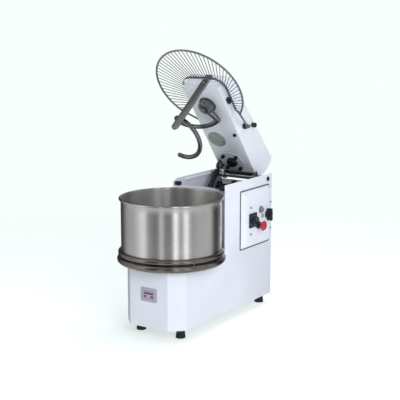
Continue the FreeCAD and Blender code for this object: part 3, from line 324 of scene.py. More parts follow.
def soften(bm, width, segments=2, angle=32, test=None):
    """Round the edges sharper than an angle, or those that a test picks."""
    limit = math.radians(angle)
    edges = [e for e in bm.edges if len(e.link_faces) == 2 and e.calc_face_angle(0) > limit]
    if test:
        edges = [e for e in edges if test(e)]
    bmesh.ops.bevel(bm, geom=edges, offset=width, offset_type="OFFSET", segments=segments, profile=0.5,
                    affect="EDGES", clamp_overlap=True, material=-1)
    return bm


def slab(low, high, round_by=0.0):
    """A block between two corners with rounded edges."""
    bm = bmesh.new()
    middle = (Vector(low) + Vector(high)) / 2
    span = Vector(high) - Vector(low)
    bmesh.ops.create_cube(bm, size=1, matrix=Matrix.Translation(middle) @ Matrix.Diagonal((*span, 1)))
    return soften(bm, round_by, 3) if round_by else bm


def cylinder(radius, length, sides=32, chamfer=0.0):
    """A round or many-sided bar that stands on z = 0."""
    bm = bmesh.new()
    bmesh.ops.create_cone(bm, cap_ends=True, segments=sides, radius1=radius, radius2=radius, depth=length,
                          matrix=Matrix.Translation((0, 0, length / 2)))
    return soften(bm, chamfer, 2, 40) if chamfer else bm


def shifted(bm, *spot, turn=None):
    """Turn a bmesh if asked, and move it by a spot in its own units."""
    bm.transform(Matrix.Translation(spot) @ (turn or Matrix.Identity(4)))
    return bm


def joined(*parts):
    """Put several bmeshes into one."""
    whole = bmesh.new()
    for part in parts:
        scrap = bpy.data.meshes.new("scrap")
        part.to_mesh(scrap)
        part.free()
        whole.from_mesh(scrap)
        bpy.data.meshes.remove(scrap)
    return whole


def swept(points, radii, sides=20):
    """A closed rod through points, with a radius at each."""
    bm = bmesh.new()
    ring = bmesh.ops.create_circle(bm, cap_ends=True, segments=sides, radius=1)["verts"]
    heads = [(points[min(i + 1, len(points) - 1)] - points[max(i - 1, 0)]).normalized()
             for i in range(len(points))]
    before = Matrix.Identity(4)
    across = heads[0].orthogonal().normalized()
    for i, (point, head) in enumerate(zip(points, heads)):
        across = (across - head * across.dot(head)).normalized()
        turn = Matrix((across, head.cross(across), head)).transposed().to_4x4()
        place = Matrix.Translation(point) @ turn @ Matrix.Diagonal((radii[i], radii[i], 1, 1))
        if i:
            grown = bmesh.ops.extrude_edge_only(bm, edges=edges)["geom"]
            ring = [g for g in grown if isinstance(g, bmesh.types.BMVert)]
        bmesh.ops.transform(bm, matrix=place @ before.inverted(), verts=ring)
        before = place
        inside = set(ring)
        edges = [e for e in bm.edges if e.verts[0] in inside and e.verts[1] in inside]
    bmesh.ops.edgeloop_fill(bm, edges=edges)
    bmesh.ops.recalc_face_normals(bm, faces=bm.faces)
    return bm


def cad_copy(node):
    """The frame's own shape as one welded mesh in metres, with its flat faces whole."""
    bm = bmesh.new()
    bm.from_mesh(frame["nodes"][node].data)
    bmesh.ops.remove_doubles(bm, verts=bm.verts, dist=0.005 * MM)
    bmesh.ops.dissolve_limit(bm, angle_limit=math.radians(0.5), verts=bm.verts, edges=bm.edges)
    return bm


def piece(name, bm, material, body, place=LEVEL, stands_for=(), sharp=34):
    """Finish a piece: put it in its place and hang it on its body."""
    bm.transform(place)
    mesh = bpy.data.meshes.new(name)
    bm.to_mesh(mesh)
    bm.free()
    for polygon in mesh.polygons:
        polygon.use_smooth = True
    mesh.set_sharp_from_angle(angle=math.radians(sharp))
    mesh.materials.append(material)
    thing = bpy.data.objects.new(name, mesh)
    bpy.context.scene.collection.objects.link(thing)
    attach(thing, body)
    if stands_for:
        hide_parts(*stands_for)
    return thing


def softened_node(node, material, body, width_mm, segments=2):
    """A frame node's shape with its edges rounded."""
    bm = soften(cad_copy(node), width_mm * MM, segments)
    return piece(node + "_finished", bm, material, body, AS_CAD, (node,))


def inner_face(node):
    """The middle of a node's left face, where it stands on what is behind it."""
    low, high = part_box(node)
    return Vector((low.x, (low.y + high.y) / 2, (low.z + high.z) / 2))


def facing(bm, spot):
    """Turn a piece that stands on z = 0 to face +x, at a spot in metres."""
    bm.transform(Matrix.Translation(spot) @ FACE_RIGHT @ Matrix.Scale(MM, 4))
    return bm


# ---------------------------------------------------------------- body
def body_panels():
    """Folded sheet body: wide bends down the front, small ones on every cut edge."""
    bm = cad_copy("body_shell")

    def upright_fold(edge):
        one, other = (v.co for v in edge.verts)
        tall = abs(one.z - other.z) > 150 * MM
        return tall and one.y < BOWL_Y and (one.xy - other.xy).length < MM

    soften(bm, 3.2 * MM, 4, 20, upright_fold)
    soften(bm, 0.7 * MM, 2, 40)
    piece("body_panels", bm, WHITE_COAT, "machine_body", AS_CAD, ("body_shell",))


def rear_panel():
    """Louvred cover, held by a screw near each corner and at the waist."""
    softened_node("rear_cover", WHITE_COAT, "machine_body", 0.5)
    low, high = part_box("rear_cover")
    column_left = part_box("hinge_pin")[0].x
    inset = 12 * MM
    rows = ((low.z + inset, low.x), (BASE_TOP * MM, low.x), (high.z - inset, column_left))
    screws = [pan_screw(3.6, (x, high.y, z), FACE_REAR)
              for z, left in rows for x in (left + inset, high.x - inset)]
    piece("rear_screws", joined(*screws), ZINC_STEEL, "machine_body", AS_CAD)


def pan_screw(radius, spot, way):
    """A pan-head screw with a cross on its top, turned one way at a spot in metres."""
    brim, arm = radius * 0.3, radius * 0.55
    head = lathe([(0, 0), (radius, 0), (radius, brim), *arc(arm, brim, radius * 0.45, 0, 80, 5),
                  (0, radius * 0.76)], 28)
    for turn in (0, 90):
        bar = slab((-arm, -radius * 0.1, radius * 0.7), (arm, radius * 0.1, radius * 0.82))
        bar.transform(Matrix.Rotation(math.radians(turn), 4, "Z"))
        head = joined(head, bar)
    head.transform(Matrix.Translation(spot) @ way @ Matrix.Scale(MM, 4))
    return head


def rubber_feet():
    """Tapered feet with a wide tread, a waist, and their studs and nuts."""
    low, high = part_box("feet")
    outer, top, waist = 19, 37.8, 18
    tread = outer - 3
    stud_radius, stud_length, nut_radius, nut_low = 4.7, 17, 9, 43.4
    outline = [(0, 0), (tread, 0), *arc(tread, 1.5, 1.5, -90, 0, 4), (tread + 0.8, 8),
               *arc(outer + 3, waist, 7, 215, 145, 6), (outer - 1, 27), *arc(outer - 1.6, 36, 1.6, 0, 80, 4),
               (tread, top), (0, top)]
    feet = []
    for x in (low.x / MM + outer, high.x / MM - outer):
        for back in ((low.y - BOWL_Y) / MM + outer, (high.y - BOWL_Y) / MM - outer):
            foot = joined(lathe(outline, 48), shifted(cylinder(stud_radius, stud_length, 20), 0, 0, 38),
                          shifted(cylinder(nut_radius, 6, 6, 0.8), 0, 0, nut_low))
            feet.append(shifted(foot, x, back, 0))
    piece("rubber_feet", joined(*feet), RUBBER, "machine_body", stands_for=("feet",))


def rounded_plate(width, height, depth, corner):
    """A plate on the xz plane that faces -y, with round corners."""
    bm = slab((-width / 2, -depth, -height / 2), (width / 2, 0, height / 2))
    soften(bm, corner, 6, 30, lambda e: abs(e.verts[0].co.y - e.verts[1].co.y) > depth * 0.9)
    return soften(bm, depth * 0.3, 2, 50)


def front_badge():
    """Plain plate with a ruled frame, a band and four rivets, and no lettering."""
    low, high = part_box("badge_plate")
    middle = (low + high) / 2 / MM
    width, height = (high.x - low.x) / MM, (high.z - low.z) / MM
    depth, corner, rivet_inset, ink = 1.6, 4, 5, 0.2
    spot = (middle.x, (high.y - BOWL_Y) / MM, middle.z)
    plate = shifted(rounded_plate(width, height, depth, corner), *spot)
    across, upward = width / 2 - rivet_inset, height / 2 - rivet_inset
    rivets = [shifted(lathe([(0, 0), (2, 0), *arc(0, -1.2, 2.33, 31, 90, 5)], 20),
                      side * across, -depth, up * upward, turn=FACE_FRONT)
              for side in (-1, 1) for up in (-1, 1)]
    piece("badge", joined(plate, shifted(joined(*rivets), *spot)), PLATE_METAL, "machine_body",
          stands_for=("badge_plate",))
    front = spot[1] - depth
    # two rules and two small blocks: left edge, lower edge, width and height
    fields = [(-22, 12, 44, 1.2), (-22, -14, 44, 1.2), (-20, -10, 9, 8), (8, -10, 12, 8)]
    dark = [shifted(slab((x, -ink, z), (x + wide, 0.05, z + tall)), middle.x, front, middle.z)
            for x, z, wide, tall in fields]
    piece("badge_print_dark", joined(*dark), PRINT_DARK, "machine_body")
    band = shifted(slab((-20, -ink, 1.5), (20, 0.05, 8.5)), middle.x, front, middle.z)
    piece("badge_print_band", band, PRINT_RED, "machine_body")


def lead_gland():
    """Moulded gland nut with six flats, a round mouth and the neck behind it."""
    low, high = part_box("cable_gland")
    middle = (low + high) / 2 / MM
    bore, length = 5.5, 9
    nut = cylinder(11, 5, 6, 0.8)
    mouth = lathe([(bore, 4.5), (10, 4.5), (10, 5.2), *arc(8, 7, 2, 0, 90, 4), (bore, length)], 40)
    neck = lathe([(bore, -8), (7.8, -8), (7.8, 0), (bore, 0)], 32)
    whole = joined(nut, mouth, neck)
    whole.transform(FACE_REAR)
    shifted(whole, middle.x, (high.y - BOWL_Y) / MM - length, middle.z)
    piece("lead_gland", whole, BLACK_ABS, "machine_body", stands_for=("cable_gland",))


def body_trim():
    """Moulded caps on the column's front corners, and dished plugs over the hinge pin's ends."""
    softened_node("corner_caps", BLACK_ABS, "machine_body", 3.5, segments=4)
    low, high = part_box("pivot_caps")
    radius = (high.z - low.z) / 2 / MM
    middle = (low + high) / 2 / MM
    cap_height = 4
    outline = [(0, 0), (radius, 0), (radius, 1.2), *arc(radius - 2.2, 1.4, 2.2, 0, 90, 6),
               (radius * 0.4, 3.4), (radius * 0.35, 2.6), (0, 2.6)]
    plugs = []
    for way, wall in ((FACE_RIGHT, high.x / MM - cap_height), (FACE_LEFT, low.x / MM + cap_height)):
        plug = lathe(outline, 40)
        plug.transform(way)
        plugs.append(shifted(plug, wall, middle.y - BOWL_Y / MM, middle.z))
    piece("pivot_plugs", joined(*plugs), BLACK_ABS, "machine_body",
          stands_for=("pivot_caps",))


# ---------------------------------------------------------------- bowl and turntable
def mixing_bowl():
    """Deep-drawn bowl: thin wall, round foot and a rolled rim; satin inside, with a paler tone there that is
    painted light.
    """
    inner = BOWL_RADIUS - BOWL_WALL
    foot = BOWL_FOOT + BOWL_CORNER
    turn_in = BOWL_RADIUS - BOWL_CORNER
    rim = inner + RIM_TUBE + 0.75
    neck, lip = BOWL_TOP - 30, BOWL_TOP - 5
    outline = [(0, BOWL_FOOT + BOWL_WALL), *arc(turn_in, foot, BOWL_CORNER - BOWL_WALL, -90, 0, 10),
               (inner, neck), *arc(rim, BOWL_TOP, RIM_TUBE, 180, -120, 22), (BOWL_RADIUS, lip),
               (BOWL_RADIUS, neck), *arc(turn_in, foot, BOWL_CORNER, 0, -90, 10), (0, BOWL_FOOT)]
    bowl = piece("mixing_bowl", lathe(outline, 180), BOWL_STEEL, "bowl", stands_for=("bowl",),
                 sharp=50)
    # the inside's paler steel is painted light that brightens it
    bowl.data.materials.append(BOWL_INSIDE_PAINTED_PALER)
    for face in bowl.data.polygons:
        out = face.center - Vector((0, BOWL_Y, face.center.z))
        if face.normal.dot(out) < 0 and face.center.z < (BOWL_TOP - RIM_TUBE) * MM:
            face.material_index = 1


def bowl_bead():
    """Pressed bead round the bowl's foot, hollow and open below for the locking pins."""
    wall = 1.2
    seat = BOWL_RADIUS + 0.05
    outline = [*arc(SKIRT_RADIUS, SKIRT_Z, SKIRT_TUBE, 90, -70, 18),
               *arc(SKIRT_RADIUS, SKIRT_Z, SKIRT_TUBE - wall, -70, 90, 18),
               (seat, SKIRT_Z + SKIRT_TUBE - wall), (seat, SKIRT_Z + SKIRT_TUBE)]
    piece("bowl_bead", lathe(outline, 180), BEAD_STEEL_PAINTED_DARK, "bowl", stands_for=("bowl_skirt",),
          sharp=50)


def turntable():
    """Spun dish with a round bead, its hub, and three locking pins."""
    bore, hub_radius, hub_low, plate_reach = 15.1, 27, 248, 168
    pin_radius, pin_length, pin_low = 3, 13, 269
    outline = [(bore, hub_low), (hub_radius, hub_low), (hub_radius, DISH_PLATE_LOW),
               (plate_reach, DISH_PLATE_LOW), *arc(DISH_RADIUS, DISH_Z, DISH_TUBE, 220, 456, 30),
               (DISH_ROOM, DISH_Z + DISH_TUBE), (DISH_ROOM, DISH_PLATE_HIGH), (bore, DISH_PLATE_HIGH)]
    parts = [lathe(outline, 180)]
    for i in range(3):
        turn = math.radians(90 + 120 * i)
        x, back = LOCK_PIN_CIRCLE * math.cos(turn), LOCK_PIN_CIRCLE * math.sin(turn)
        parts.append(shifted(cylinder(pin_radius, pin_length, 20, 0.6), x, back, pin_low))
    piece("turntable_bead", joined(*parts), BEAD_STEEL_PAINTED_DARK, "turntable",
          stands_for=("turntable_dish",), sharp=50)


# ---------------------------------------------------------------- head
def head_shell():
    """Head cover with folded edges all round."""
    bm = cad_copy("head_cover")
    wide = 2 * (HEAD_HALF_WIDTH - 1) * MM

    def outer_fold(edge):
        one, other = (v.co for v in edge.verts)
        across = abs(one.x - other.x) > wide
        side = abs(one.x) > wide / 2 and abs(other.x) > wide / 2 and one.x * other.x > 0
        return (across or side) and edge.is_convex

    soften(bm, 1.9 * MM, 4, 10, outer_fold)
    piece("head_shell", bm, WHITE_COAT, "head", AS_CAD, ("head_cover",))


def head_underside():
    """Sheet under the head, with a round green-grey cover on three screws and one bolt on its washer."""
    softened_node("head_plate", UNDERSIDE_COAT_PAINTED_SHADE, "head", 0.6)
    cover_spot, cover_radius, cover_depth, screw_circle = (-30, 262, HEAD_FLOOR), 37, 1.4, 30
    disc = lathe([(0, -cover_depth), (cover_radius - 1, -cover_depth),
                  *arc(cover_radius - 1, -0.4, 1.0, -90, 0, 4), (cover_radius, 0), (0, 0)], 72)
    screws = [shifted(lathe([(0, -3), (3, -3), (3.4, -1.2), (0, -1.2)], 20), screw_circle * math.cos(turn),
                      screw_circle * math.sin(turn), 0) for turn in (0.5, 2.6, 4.7)]
    piece("round_cover", shifted(disc, *cover_spot), COVER_GREY, "head", RAISED)
    piece("round_cover_screws", shifted(joined(*screws), *cover_spot), ZINC_STEEL, "head", RAISED)
    bolt_spot, washer_radius, washer_depth, hexagon_radius = (60, 232, HEAD_FLOOR), 7.5, 1.2, 5.5
    washer = shifted(cylinder(washer_radius, washer_depth, 32), 0, 0, -washer_depth)
    bolt = joined(washer, shifted(cylinder(hexagon_radius, 5, 6, 0.6), 0, 0, -6))
    piece("plate_bolt", shifted(bolt, *bolt_spot), BLACK_STEEL, "head", RAISED)


def scraper_bar():
    """Dough-breaking bar with rounded edges, and its two domed bolts on washers."""
    softened_node("breaker_bar", BAR_STEEL, "head", 1.4, segments=3)
    washer_radius, washer_depth, bolt_radius = 9, 1.4, 6.5
    bar_x, bar_front = 12, -8
    bolts = []
    for z in (538, 509):
        washer = lathe([(0, 0), (washer_radius, 0), (washer_radius, washer_depth), (0, washer_depth)], 36)
        dome = lathe([(0, washer_depth), (bolt_radius, washer_depth), (bolt_radius, washer_depth + 1),
                      *arc(0, -3.2, 8.6, 41, 90, 8)], 36)
        bolt = joined(washer, dome)
        bolt.transform(FACE_FRONT)
        bolts.append(shifted(bolt, bar_x, bar_front, z))
    piece("scraper_bolts", joined(*bolts), GROUND_STEEL, "head", RAISED, ("bar_bolts",))


def guard_pivots():
    """Moulded pivot bosses and the block that the guard closes on, with two socket-head bolts."""
    softened_node("guard_bosses", BLACK_ABS, "head", 1.2)
    x, back, z = GUARD_HINGE
    radius, socket_radius, height, wire_room = 6.5, 3, 5, 4.4
    bolts = []
    for side, way in ((1, FACE_RIGHT), (-1, FACE_LEFT)):
        bolt = lathe([(0, 0), (radius, 0), (radius, 3.4), *arc(radius - 1.6, 3.4, 1.6, 0, 90, 4),
                      (socket_radius, height), (socket_radius, 3), (0, 3)], 32)
        bolt.transform(way)
        bolts.append(shifted(bolt, side * (x + wire_room), back, z))
    piece("guard_pivot_bolts", joined(*bolts), GROUND_STEEL, "head", RAISED)


def head_knob():
    """Small moulded knob with a fluted edge."""
    knob = fluted(KNOB_RADIUS, KNOB_LENGTH, flutes=12, depth=0.7)
    knob.transform(FACE_RIGHT)
    piece("head_knob", shifted(knob, *SIDE_KNOB), BLACK_ABS, "head", RAISED,
          ("side_knob",))


def fluted(radius, length, flutes, depth):
    """A round knob with flutes round its edge and a dished face, standing on z = 0."""
    bm = bmesh.new()
    edge, groove = 1.5, 0.8
    ring = bmesh.ops.create_circle(bm, cap_ends=True, segments=flutes * 6, radius=radius)["verts"]
    for vert in ring:
        turn = math.atan2(vert.co.y, vert.co.x)
        vert.co *= 1 - depth / radius * (0.5 - 0.5 * math.cos(flutes * turn)) ** 2
    grown = bmesh.ops.extrude_face_region(bm, geom=bm.faces[:])["geom"]
    risen = [g for g in grown if isinstance(g, bmesh.types.BMVert)]
    bmesh.ops.translate(bm, vec=(0, 0, length - edge), verts=risen)
    top = [g for g in grown if isinstance(g, bmesh.types.BMFace)][0]
    for thickness, rise in ((edge, edge), (radius * 0.22, 0), (groove, -groove)):
        bmesh.ops.inset_region(bm, faces=[top], thickness=thickness, depth=0)
        bmesh.ops.translate(bm, vec=(0, 0, rise), verts=top.verts)
    bmesh.ops.recalc_face_normals(bm, faces=bm.faces)
    return bm


def spiral_points(steps):
    """The rod's centre line: a helix that flattens towards its foot."""
    points = []
    for i in range(steps + 1):
        share = i / steps
        turn = math.radians(SPIRAL_START + SPIRAL_SWEEP * share)
        drop = (SPIRAL_TOP - SPIRAL_LOW) * math.sin(math.pi / 2 * share)
        points.append(Vector((SPIRAL_RADIUS * math.cos(turn), SPIRAL_BACK + SPIRAL_RADIUS * math.sin(turn),
                              SPIRAL_TOP - drop)))
    return points


def kneading_spiral():
    """Forged spiral: arm, tapering rod with a round nose, and the hub with its bolt."""
    steps, swollen_steps, swelling = 110, 14, 0.22
    points = spiral_points(steps)
    radii = [SPIRAL_ROD * (1 + swelling * max(0, 1 - i / swollen_steps)) for i in range(steps + 1)]
    heading = (points[-1] - points[-2]).normalized()
    for degrees in range(15, 91, 15):
        turn = math.radians(degrees)
        points.append(points[steps] + heading * SPIRAL_ROD * math.sin(turn))
        radii.append(max(SPIRAL_ROD * math.cos(turn), 0.3))
    rod = swept(points, radii, 24)

    centre = Vector((0, SPIRAL_BACK, SPIRAL_TOP))
    way = (Vector((points[0].x, points[0].y, SPIRAL_TOP)) - centre).normalized()
    # the arm's radius at each share of its reach, from the hub to just past the rod
    arm_radii = {0.2: 13.5, 0.45: 12.5, 0.7: 11.2, 0.9: 10.4, 1.0: 9.8, 1.08: 7.5, 1.13: 2.5}
    arm = swept([centre + way * SPIRAL_RADIUS * share for share in arm_radii], list(arm_radii.values()), 24)
    bore, bore_end, corner = 15.05, 483, 5
    reach, low, top = SPIRAL_HUB_RADIUS, SPIRAL_HUB_LOW, SPIRAL_HUB_TOP
    hub = lathe([(bore, bore_end), (bore, top), (reach - 3, top), (reach, top - 3), (reach, low + corner),
                 *arc(reach - corner, low + corner, corner, 0, -90, 6), (14, low), (13, low + 1.5),
                 (0, low + 1.5), (0, bore_end)], 64)
    nut = shifted(cylinder(11, 7, 6, 0.9), 0, SPIRAL_BACK, low - 5)
    shifted(hub, 0, SPIRAL_BACK, 0)
    piece("kneading_spiral", joined(rod, arm, hub, nut), SPIRAL_STEEL_PAINTED_DARK, "spiral", RAISED,
          ("spiral_hook",), 40)
    seal_inner, seal_outer = reach + 0.6, 33
    seal_low, seal_high = HEAD_FLOOR - 2.6, HEAD_FLOOR - 0.1
    seal = lathe([(seal_inner, seal_low), (seal_outer, seal_low), (seal_outer, seal_high),
                  (seal_inner, seal_high)], 56)
    piece("spiral_seal", shifted(seal, 0, SPIRAL_BACK, 0), SEAL_AND_GAP_SHADE, "head", RAISED)


def coupling_face():
    """Flange with four chamfered pins round a waisted hub."""
    reach, low, top, edge = 50, 486, 491, 1.5
    tip, pin_radius, pin_circle = 474, 7, 41
    flange = lathe([(0, low), (reach - edge, low), *arc(reach - edge, low + edge, edge, -90, 0, 3),
                    (reach, top - 1), (reach - 1.2, top), (0, top)], 72)
    piece("coupling_flange", shifted(flange, 0, DRIVE_BACK, 0), ZINC_PAINTED_PALE, "coupling", RAISED,
          ("coupling_hub",))
    hub = lathe([(0, tip), (16.5, tip), (18, tip + 1.5), (22, low - 1), (22, low + 0.2), (0, low + 0.2)], 48)
    bolt = shifted(cylinder(8.5, 5, 6, 0.8), 0, 0, tip - 4.5)
    pins = []
    for degrees in range(45, 405, 90):
        turn = math.radians(degrees)
        pin = lathe([(0, tip), (pin_radius - 1.4, tip), (pin_radius, tip + 1.6), (pin_radius, low + 0.3),
                     (0, low + 0.3)], 32)
        pins.append(shifted(pin, pin_circle * math.cos(turn), pin_circle * math.sin(turn), 0))
    piece("coupling_pins", shifted(joined(hub, bolt, *pins), 0, DRIVE_BACK, 0), BLACK_STEEL, "coupling",
          RAISED)


# ---------------------------------------------------------------- guard
def ring_spot(turn):
    """A spot on the outer hoop, by its angle from the front middle."""
    return Vector((GUARD_RADIUS * math.sin(turn), -GUARD_RADIUS * math.cos(turn), GUARD_Z))


def band_spot(share):
    """A spot on the inner band: 0 is the front middle, -1 and 1 are its rear ends."""
    runs = (BAND_HALF_WIDTH - BAND_CORNER, BAND_CORNER * math.pi / 2, BAND_REAR - BAND_FRONT - BAND_CORNER)
    along = abs(share) * sum(runs)
    if along <= runs[0]:
        x, back = along, BAND_FRONT
    elif along <= runs[0] + runs[1]:
        turn = (along - runs[0]) / BAND_CORNER
        x = BAND_HALF_WIDTH - BAND_CORNER + BAND_CORNER * math.sin(turn)
        back = BAND_FRONT + BAND_CORNER - BAND_CORNER * math.cos(turn)
    else:
        x, back = BAND_HALF_WIDTH, BAND_FRONT + BAND_CORNER + along - runs[0] - runs[1]
    return Vector((math.copysign(x, share), back, GUARD_Z + GUARD_RISE))


def bowl_guard():
    """Bent and welded wire guard: outer hoop with its arms, inner band, and the grill between."""
    reach = math.pi - math.radians(GUARD_GAP)
    steps = 96
    hinge = Vector(GUARD_HINGE)
    hoop = [ring_spot(-reach + 2 * reach * i / steps) for i in range(steps + 1)]
    left_eye = Vector((-hinge.x, hinge.y, hinge.z))
    start = [left_eye.lerp(hoop[0], share) for share in (0.03, 0.5, 0.94)]
    end = [hoop[-1].lerp(hinge, share) for share in (0.06, 0.5, 0.97)]
    path = start + hoop[1:-1] + end
    loop = swept(path, [GUARD_WIRE] * len(path), 16)
    eye_bore, eye_radius, eye_half = 3.2, 8, 3.6
    eyes = []
    for side in (1, -1):
        eye = lathe([(eye_bore, -eye_half), (eye_radius, -eye_half), (eye_radius, eye_half),
                     (eye_bore, eye_half)], 32)
        eye.transform(FACE_RIGHT)
        eyes.append(shifted(soften(eye, 0.6), side * hinge.x, hinge.y, hinge.z))
    piece("guard_hoop", joined(loop, *eyes), WIRE_STEEL, "guard", RAISED, ("guard_ring",), 50)
    softened_node("guard_band", WIRE_STEEL, "guard", 0.8)
    guard_grill(reach)


def guard_grill(reach):
    """Wires from the hoop's top to the band, with a bead of weld at each end."""
    over = Vector((0, 0, 3.2))
    hoop_weld, band_weld, past = 2.1, 1.9, 2
    parts = []
    for i in range(GRILL_COUNT):
        share = -1 + (2 * i + 1) / GRILL_COUNT
        outer, inner = ring_spot(reach * share), band_spot(share)
        tip = outer + (outer - inner).normalized() * past + over * 0.6
        path = [tip, outer.lerp(inner, 0.04) + over, outer.lerp(inner, 0.5) + over * 0.5,
                outer.lerp(inner, 0.96), inner]
        parts.append(swept(path, [GRILL_WIRE] * len(path), 8))
        for spot, size in ((outer + over * 0.75, hoop_weld), (inner, band_weld)):
            bead = bmesh.new()
            bmesh.ops.create_icosphere(bead, subdivisions=1, radius=size, matrix=Matrix.Translation(spot))
            parts.append(bead)
    piece("guard_grill", joined(*parts), WIRE_STEEL, "guard", RAISED, ("guard_wires",), 60)


# ---------------------------------------------------------------- gas strut
def gas_strut():
    """Lacquered can with rolled ends, ground rod, and plated eyes and brackets."""
    softened_node("strut_cylinder", BLACK_LACQUER, "strut_cylinder", 0.7)
    softened_node("strut_rod", GROUND_STEEL, "strut_rod", 0.4)
    softened_node("strut_lug", ZINC_STEEL, "head", 0.5)
    softened_node("strut_bracket", ZINC_STEEL, "machine_body", 0.5)


# ---------------------------------------------------------------- controls
def control_cover():
    """Bevelled cover with four screws, and a dark grey frame round its edge as painted shade in the gap round
    it.
    """
    bm = soften(cad_copy("control_box"), 1.6 * MM, 3)
    piece("control_cover", bm, WHITE_COAT, "machine_body", AS_CAD, ("control_box",))
    low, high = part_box("control_box")
    lip, thickness, corner = 2.6 * MM, 1.6 * MM, 7 * MM
    # a dark grey frame just outside the cover's edge: painted shade in the gap round it
    seal = slab((low.x, low.y - lip, low.z - lip), (low.x + thickness, high.y + lip, high.z + lip))
    soften(seal, corner, 5, 30, lambda e: abs(e.verts[0].co.x - e.verts[1].co.x) > MM)
    piece("cover_gap_shade", seal, SEAL_AND_GAP_SHADE, "machine_body", AS_CAD)
    low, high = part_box("control_screws")
    screw_radius = 4
    inset = screw_radius * MM
    screws = [pan_screw(screw_radius, (low.x, y, z), FACE_RIGHT) for y in (low.y + inset, high.y - inset)
              for z in (low.z + inset, high.z - inset)]
    piece("cover_screws", joined(*screws), ZINC_STEEL, "machine_body", AS_CAD, ("control_screws",))


def timer():
    """Square bezel with a ring of ticks round a fluted dial."""
    low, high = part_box("timer_bezel")
    bezel = slab(low, high)
    soften(bezel, 2.5 * MM, 4, 30)
    piece("timer_surround", bezel, BLACK_ABS, "machine_body", AS_CAD, ("timer_bezel",))
    middle = Vector((high.x, (low.y + high.y) / 2, (low.z + high.z) / 2))
    tick_count, tick_step, first_tick, ink = 13, 25, -150, 0.25
    ticks = []
    for i in range(tick_count):
        tick = slab((-0.5, 19.5, 0), (0.5, 22.5, ink))
        tick.transform(Matrix.Rotation(math.radians(first_tick + tick_step * i), 4, "Z"))
        ticks.append(tick)
    piece("timer_ticks", facing(joined(*ticks), middle), PRINT_WHITE, "machine_body",
          AS_CAD)
    foot = inner_face("timer_knob")
    dial = fluted(radius=17, length=14, flutes=18, depth=0.8)
    piece("timer_dial", facing(dial, foot), BLACK_ABS, "timer_knob", AS_CAD,
          ("timer_knob",))
    mark = slab((-9, -0.8, 13.1), (-2, 0.8, 13.5))
    piece("timer_mark", facing(mark, foot), PRINT_WHITE, "timer_knob", AS_CAD)


def stop_mushroom():
    """Red mushroom head on a dark stem, in a round collar."""
    foot = inner_face("stop_collar")
    stem_radius, collar_bore, collar_radius = 8, 8.4, 14
    collar = lathe([(collar_bore, 0), (collar_radius, 0), (collar_radius, 5),
                    *arc(collar_radius - 1.6, 6.4, 1.6, 0, 90, 4), (collar_bore, 8)], 48)
    piece("stop_surround", facing(collar, foot), BLACK_ABS, "machine_body", AS_CAD,
          ("stop_collar",))
    neck, brim_radius, brim_middle, brim_edge = 13.6, 17, 25, 2
    head = lathe([(0, neck), (12.6, neck), (13.4, 16), (15, 20.4),
                  *arc(brim_radius, brim_middle, brim_edge, -60, 60, 8),
                  *arc(0, 1.5, 32.2, 58.5, 90, 10)], 72)
    piece("stop_head", facing(head, foot), RED_ABS, "stop_button", AS_CAD, ("stop_button",))
    stem = lathe([(0, 6), (stem_radius, 6), (stem_radius, neck + 0.1), (0, neck + 0.1)], 40)
    piece("stop_stem", facing(stem, foot), BLACK_ABS, "stop_button", AS_CAD)


def start_button():
    """Dished grey cap in a ground ring."""
    foot = inner_face("start_button")
    radius, edge, bore, ring_radius = 10, 1.4, 10.5, 13.4
    cap = lathe([(0, 0), (radius, 0), (radius, 5.6), *arc(radius - edge, 5.6, edge, 0, 90, 4), (6.5, 6.4),
                 (0, 6.0)], 48)
    piece("start_cap", facing(cap, foot), GREY_ABS, "start_button", AS_CAD,
          ("start_button",))
    ring = lathe([(bore, -3.4), (ring_radius, -3.4), (ring_radius, -1.4), (12, 0.4), (bore, 0.4)], 48)
    piece("start_ring", facing(ring, foot), GROUND_STEEL, "machine_body", AS_CAD)


def pilot_lamp():
    """Domed lens in a ground ring."""
    foot = inner_face("pilot_lamp")
    radius, bore, ring_radius = 4.9, 5, 8
    lens = lathe([(0, 0.5), (radius, 0.5), (radius, 3.5), *arc(0, 0.2, 5.8, 34, 90, 8)], 40)
    piece("lamp_lens", facing(lens, foot), LENS, "machine_body", AS_CAD, ("pilot_lamp",))
    ring = lathe([(bore, 0), (ring_radius, 0), (ring_radius, 1), (6.8, 2.6), (bore, 2.6)], 40)
    piece("lamp_ring", facing(ring, foot), GROUND_STEEL, "machine_body", AS_CAD)


def speed_switch():
    """Round skirt with a bar grip across it, and a line on the grip's pointing end."""
    foot = inner_face("speed_knob")
    skirt = lathe([(0, 0), (15, 0), (15, 2), (13.2, 8), *arc(11.8, 8.4, 1.4, 0, 90, 3), (0, 9.8)], 56)
    half_length, half_width, top = 23, 4.5, 24
    grip = slab((-half_length, -half_width, 2), (half_length, half_width, top), 1.8)
    piece("switch_grip", facing(joined(skirt, grip), foot), BLACK_ABS, "speed_knob", AS_CAD,
          ("speed_knob",))
    mark = slab((2 - half_length, -0.7, top - 0.1), (-10, 0.7, top + 0.2))
    piece("switch_mark", facing(mark, foot), PRINT_WHITE, "speed_knob", AS_CAD)


# ---------------------------------------------------------------- hidden works
NODE_FINISHES = {
    ZINC_STEEL: ("floor_plate", "pivot_cheeks", "hinge_lugs", "coupling_bracket"),
    CASTING: ("turntable_housing", "gearbox", "spiral_housing", "coupling_housing", "motor"),
    GROUND_STEEL: ("hinge_pin", "turntable_shaft", "drive_shaft", "spiral_shaft", "coupling_shaft",
                   "turntable_bearings", "coupling_bearing", "head_bearings"),
    BLACK_STEEL: ("turntable_sprocket", "drive_sprocket", "spiral_sprocket", "coupling_sprocket",
                  "lower_chain", "upper_chain"),
    BRONZE: ("hinge_bushes",),
    BLACK_ABS: ("electrical_box",),
}


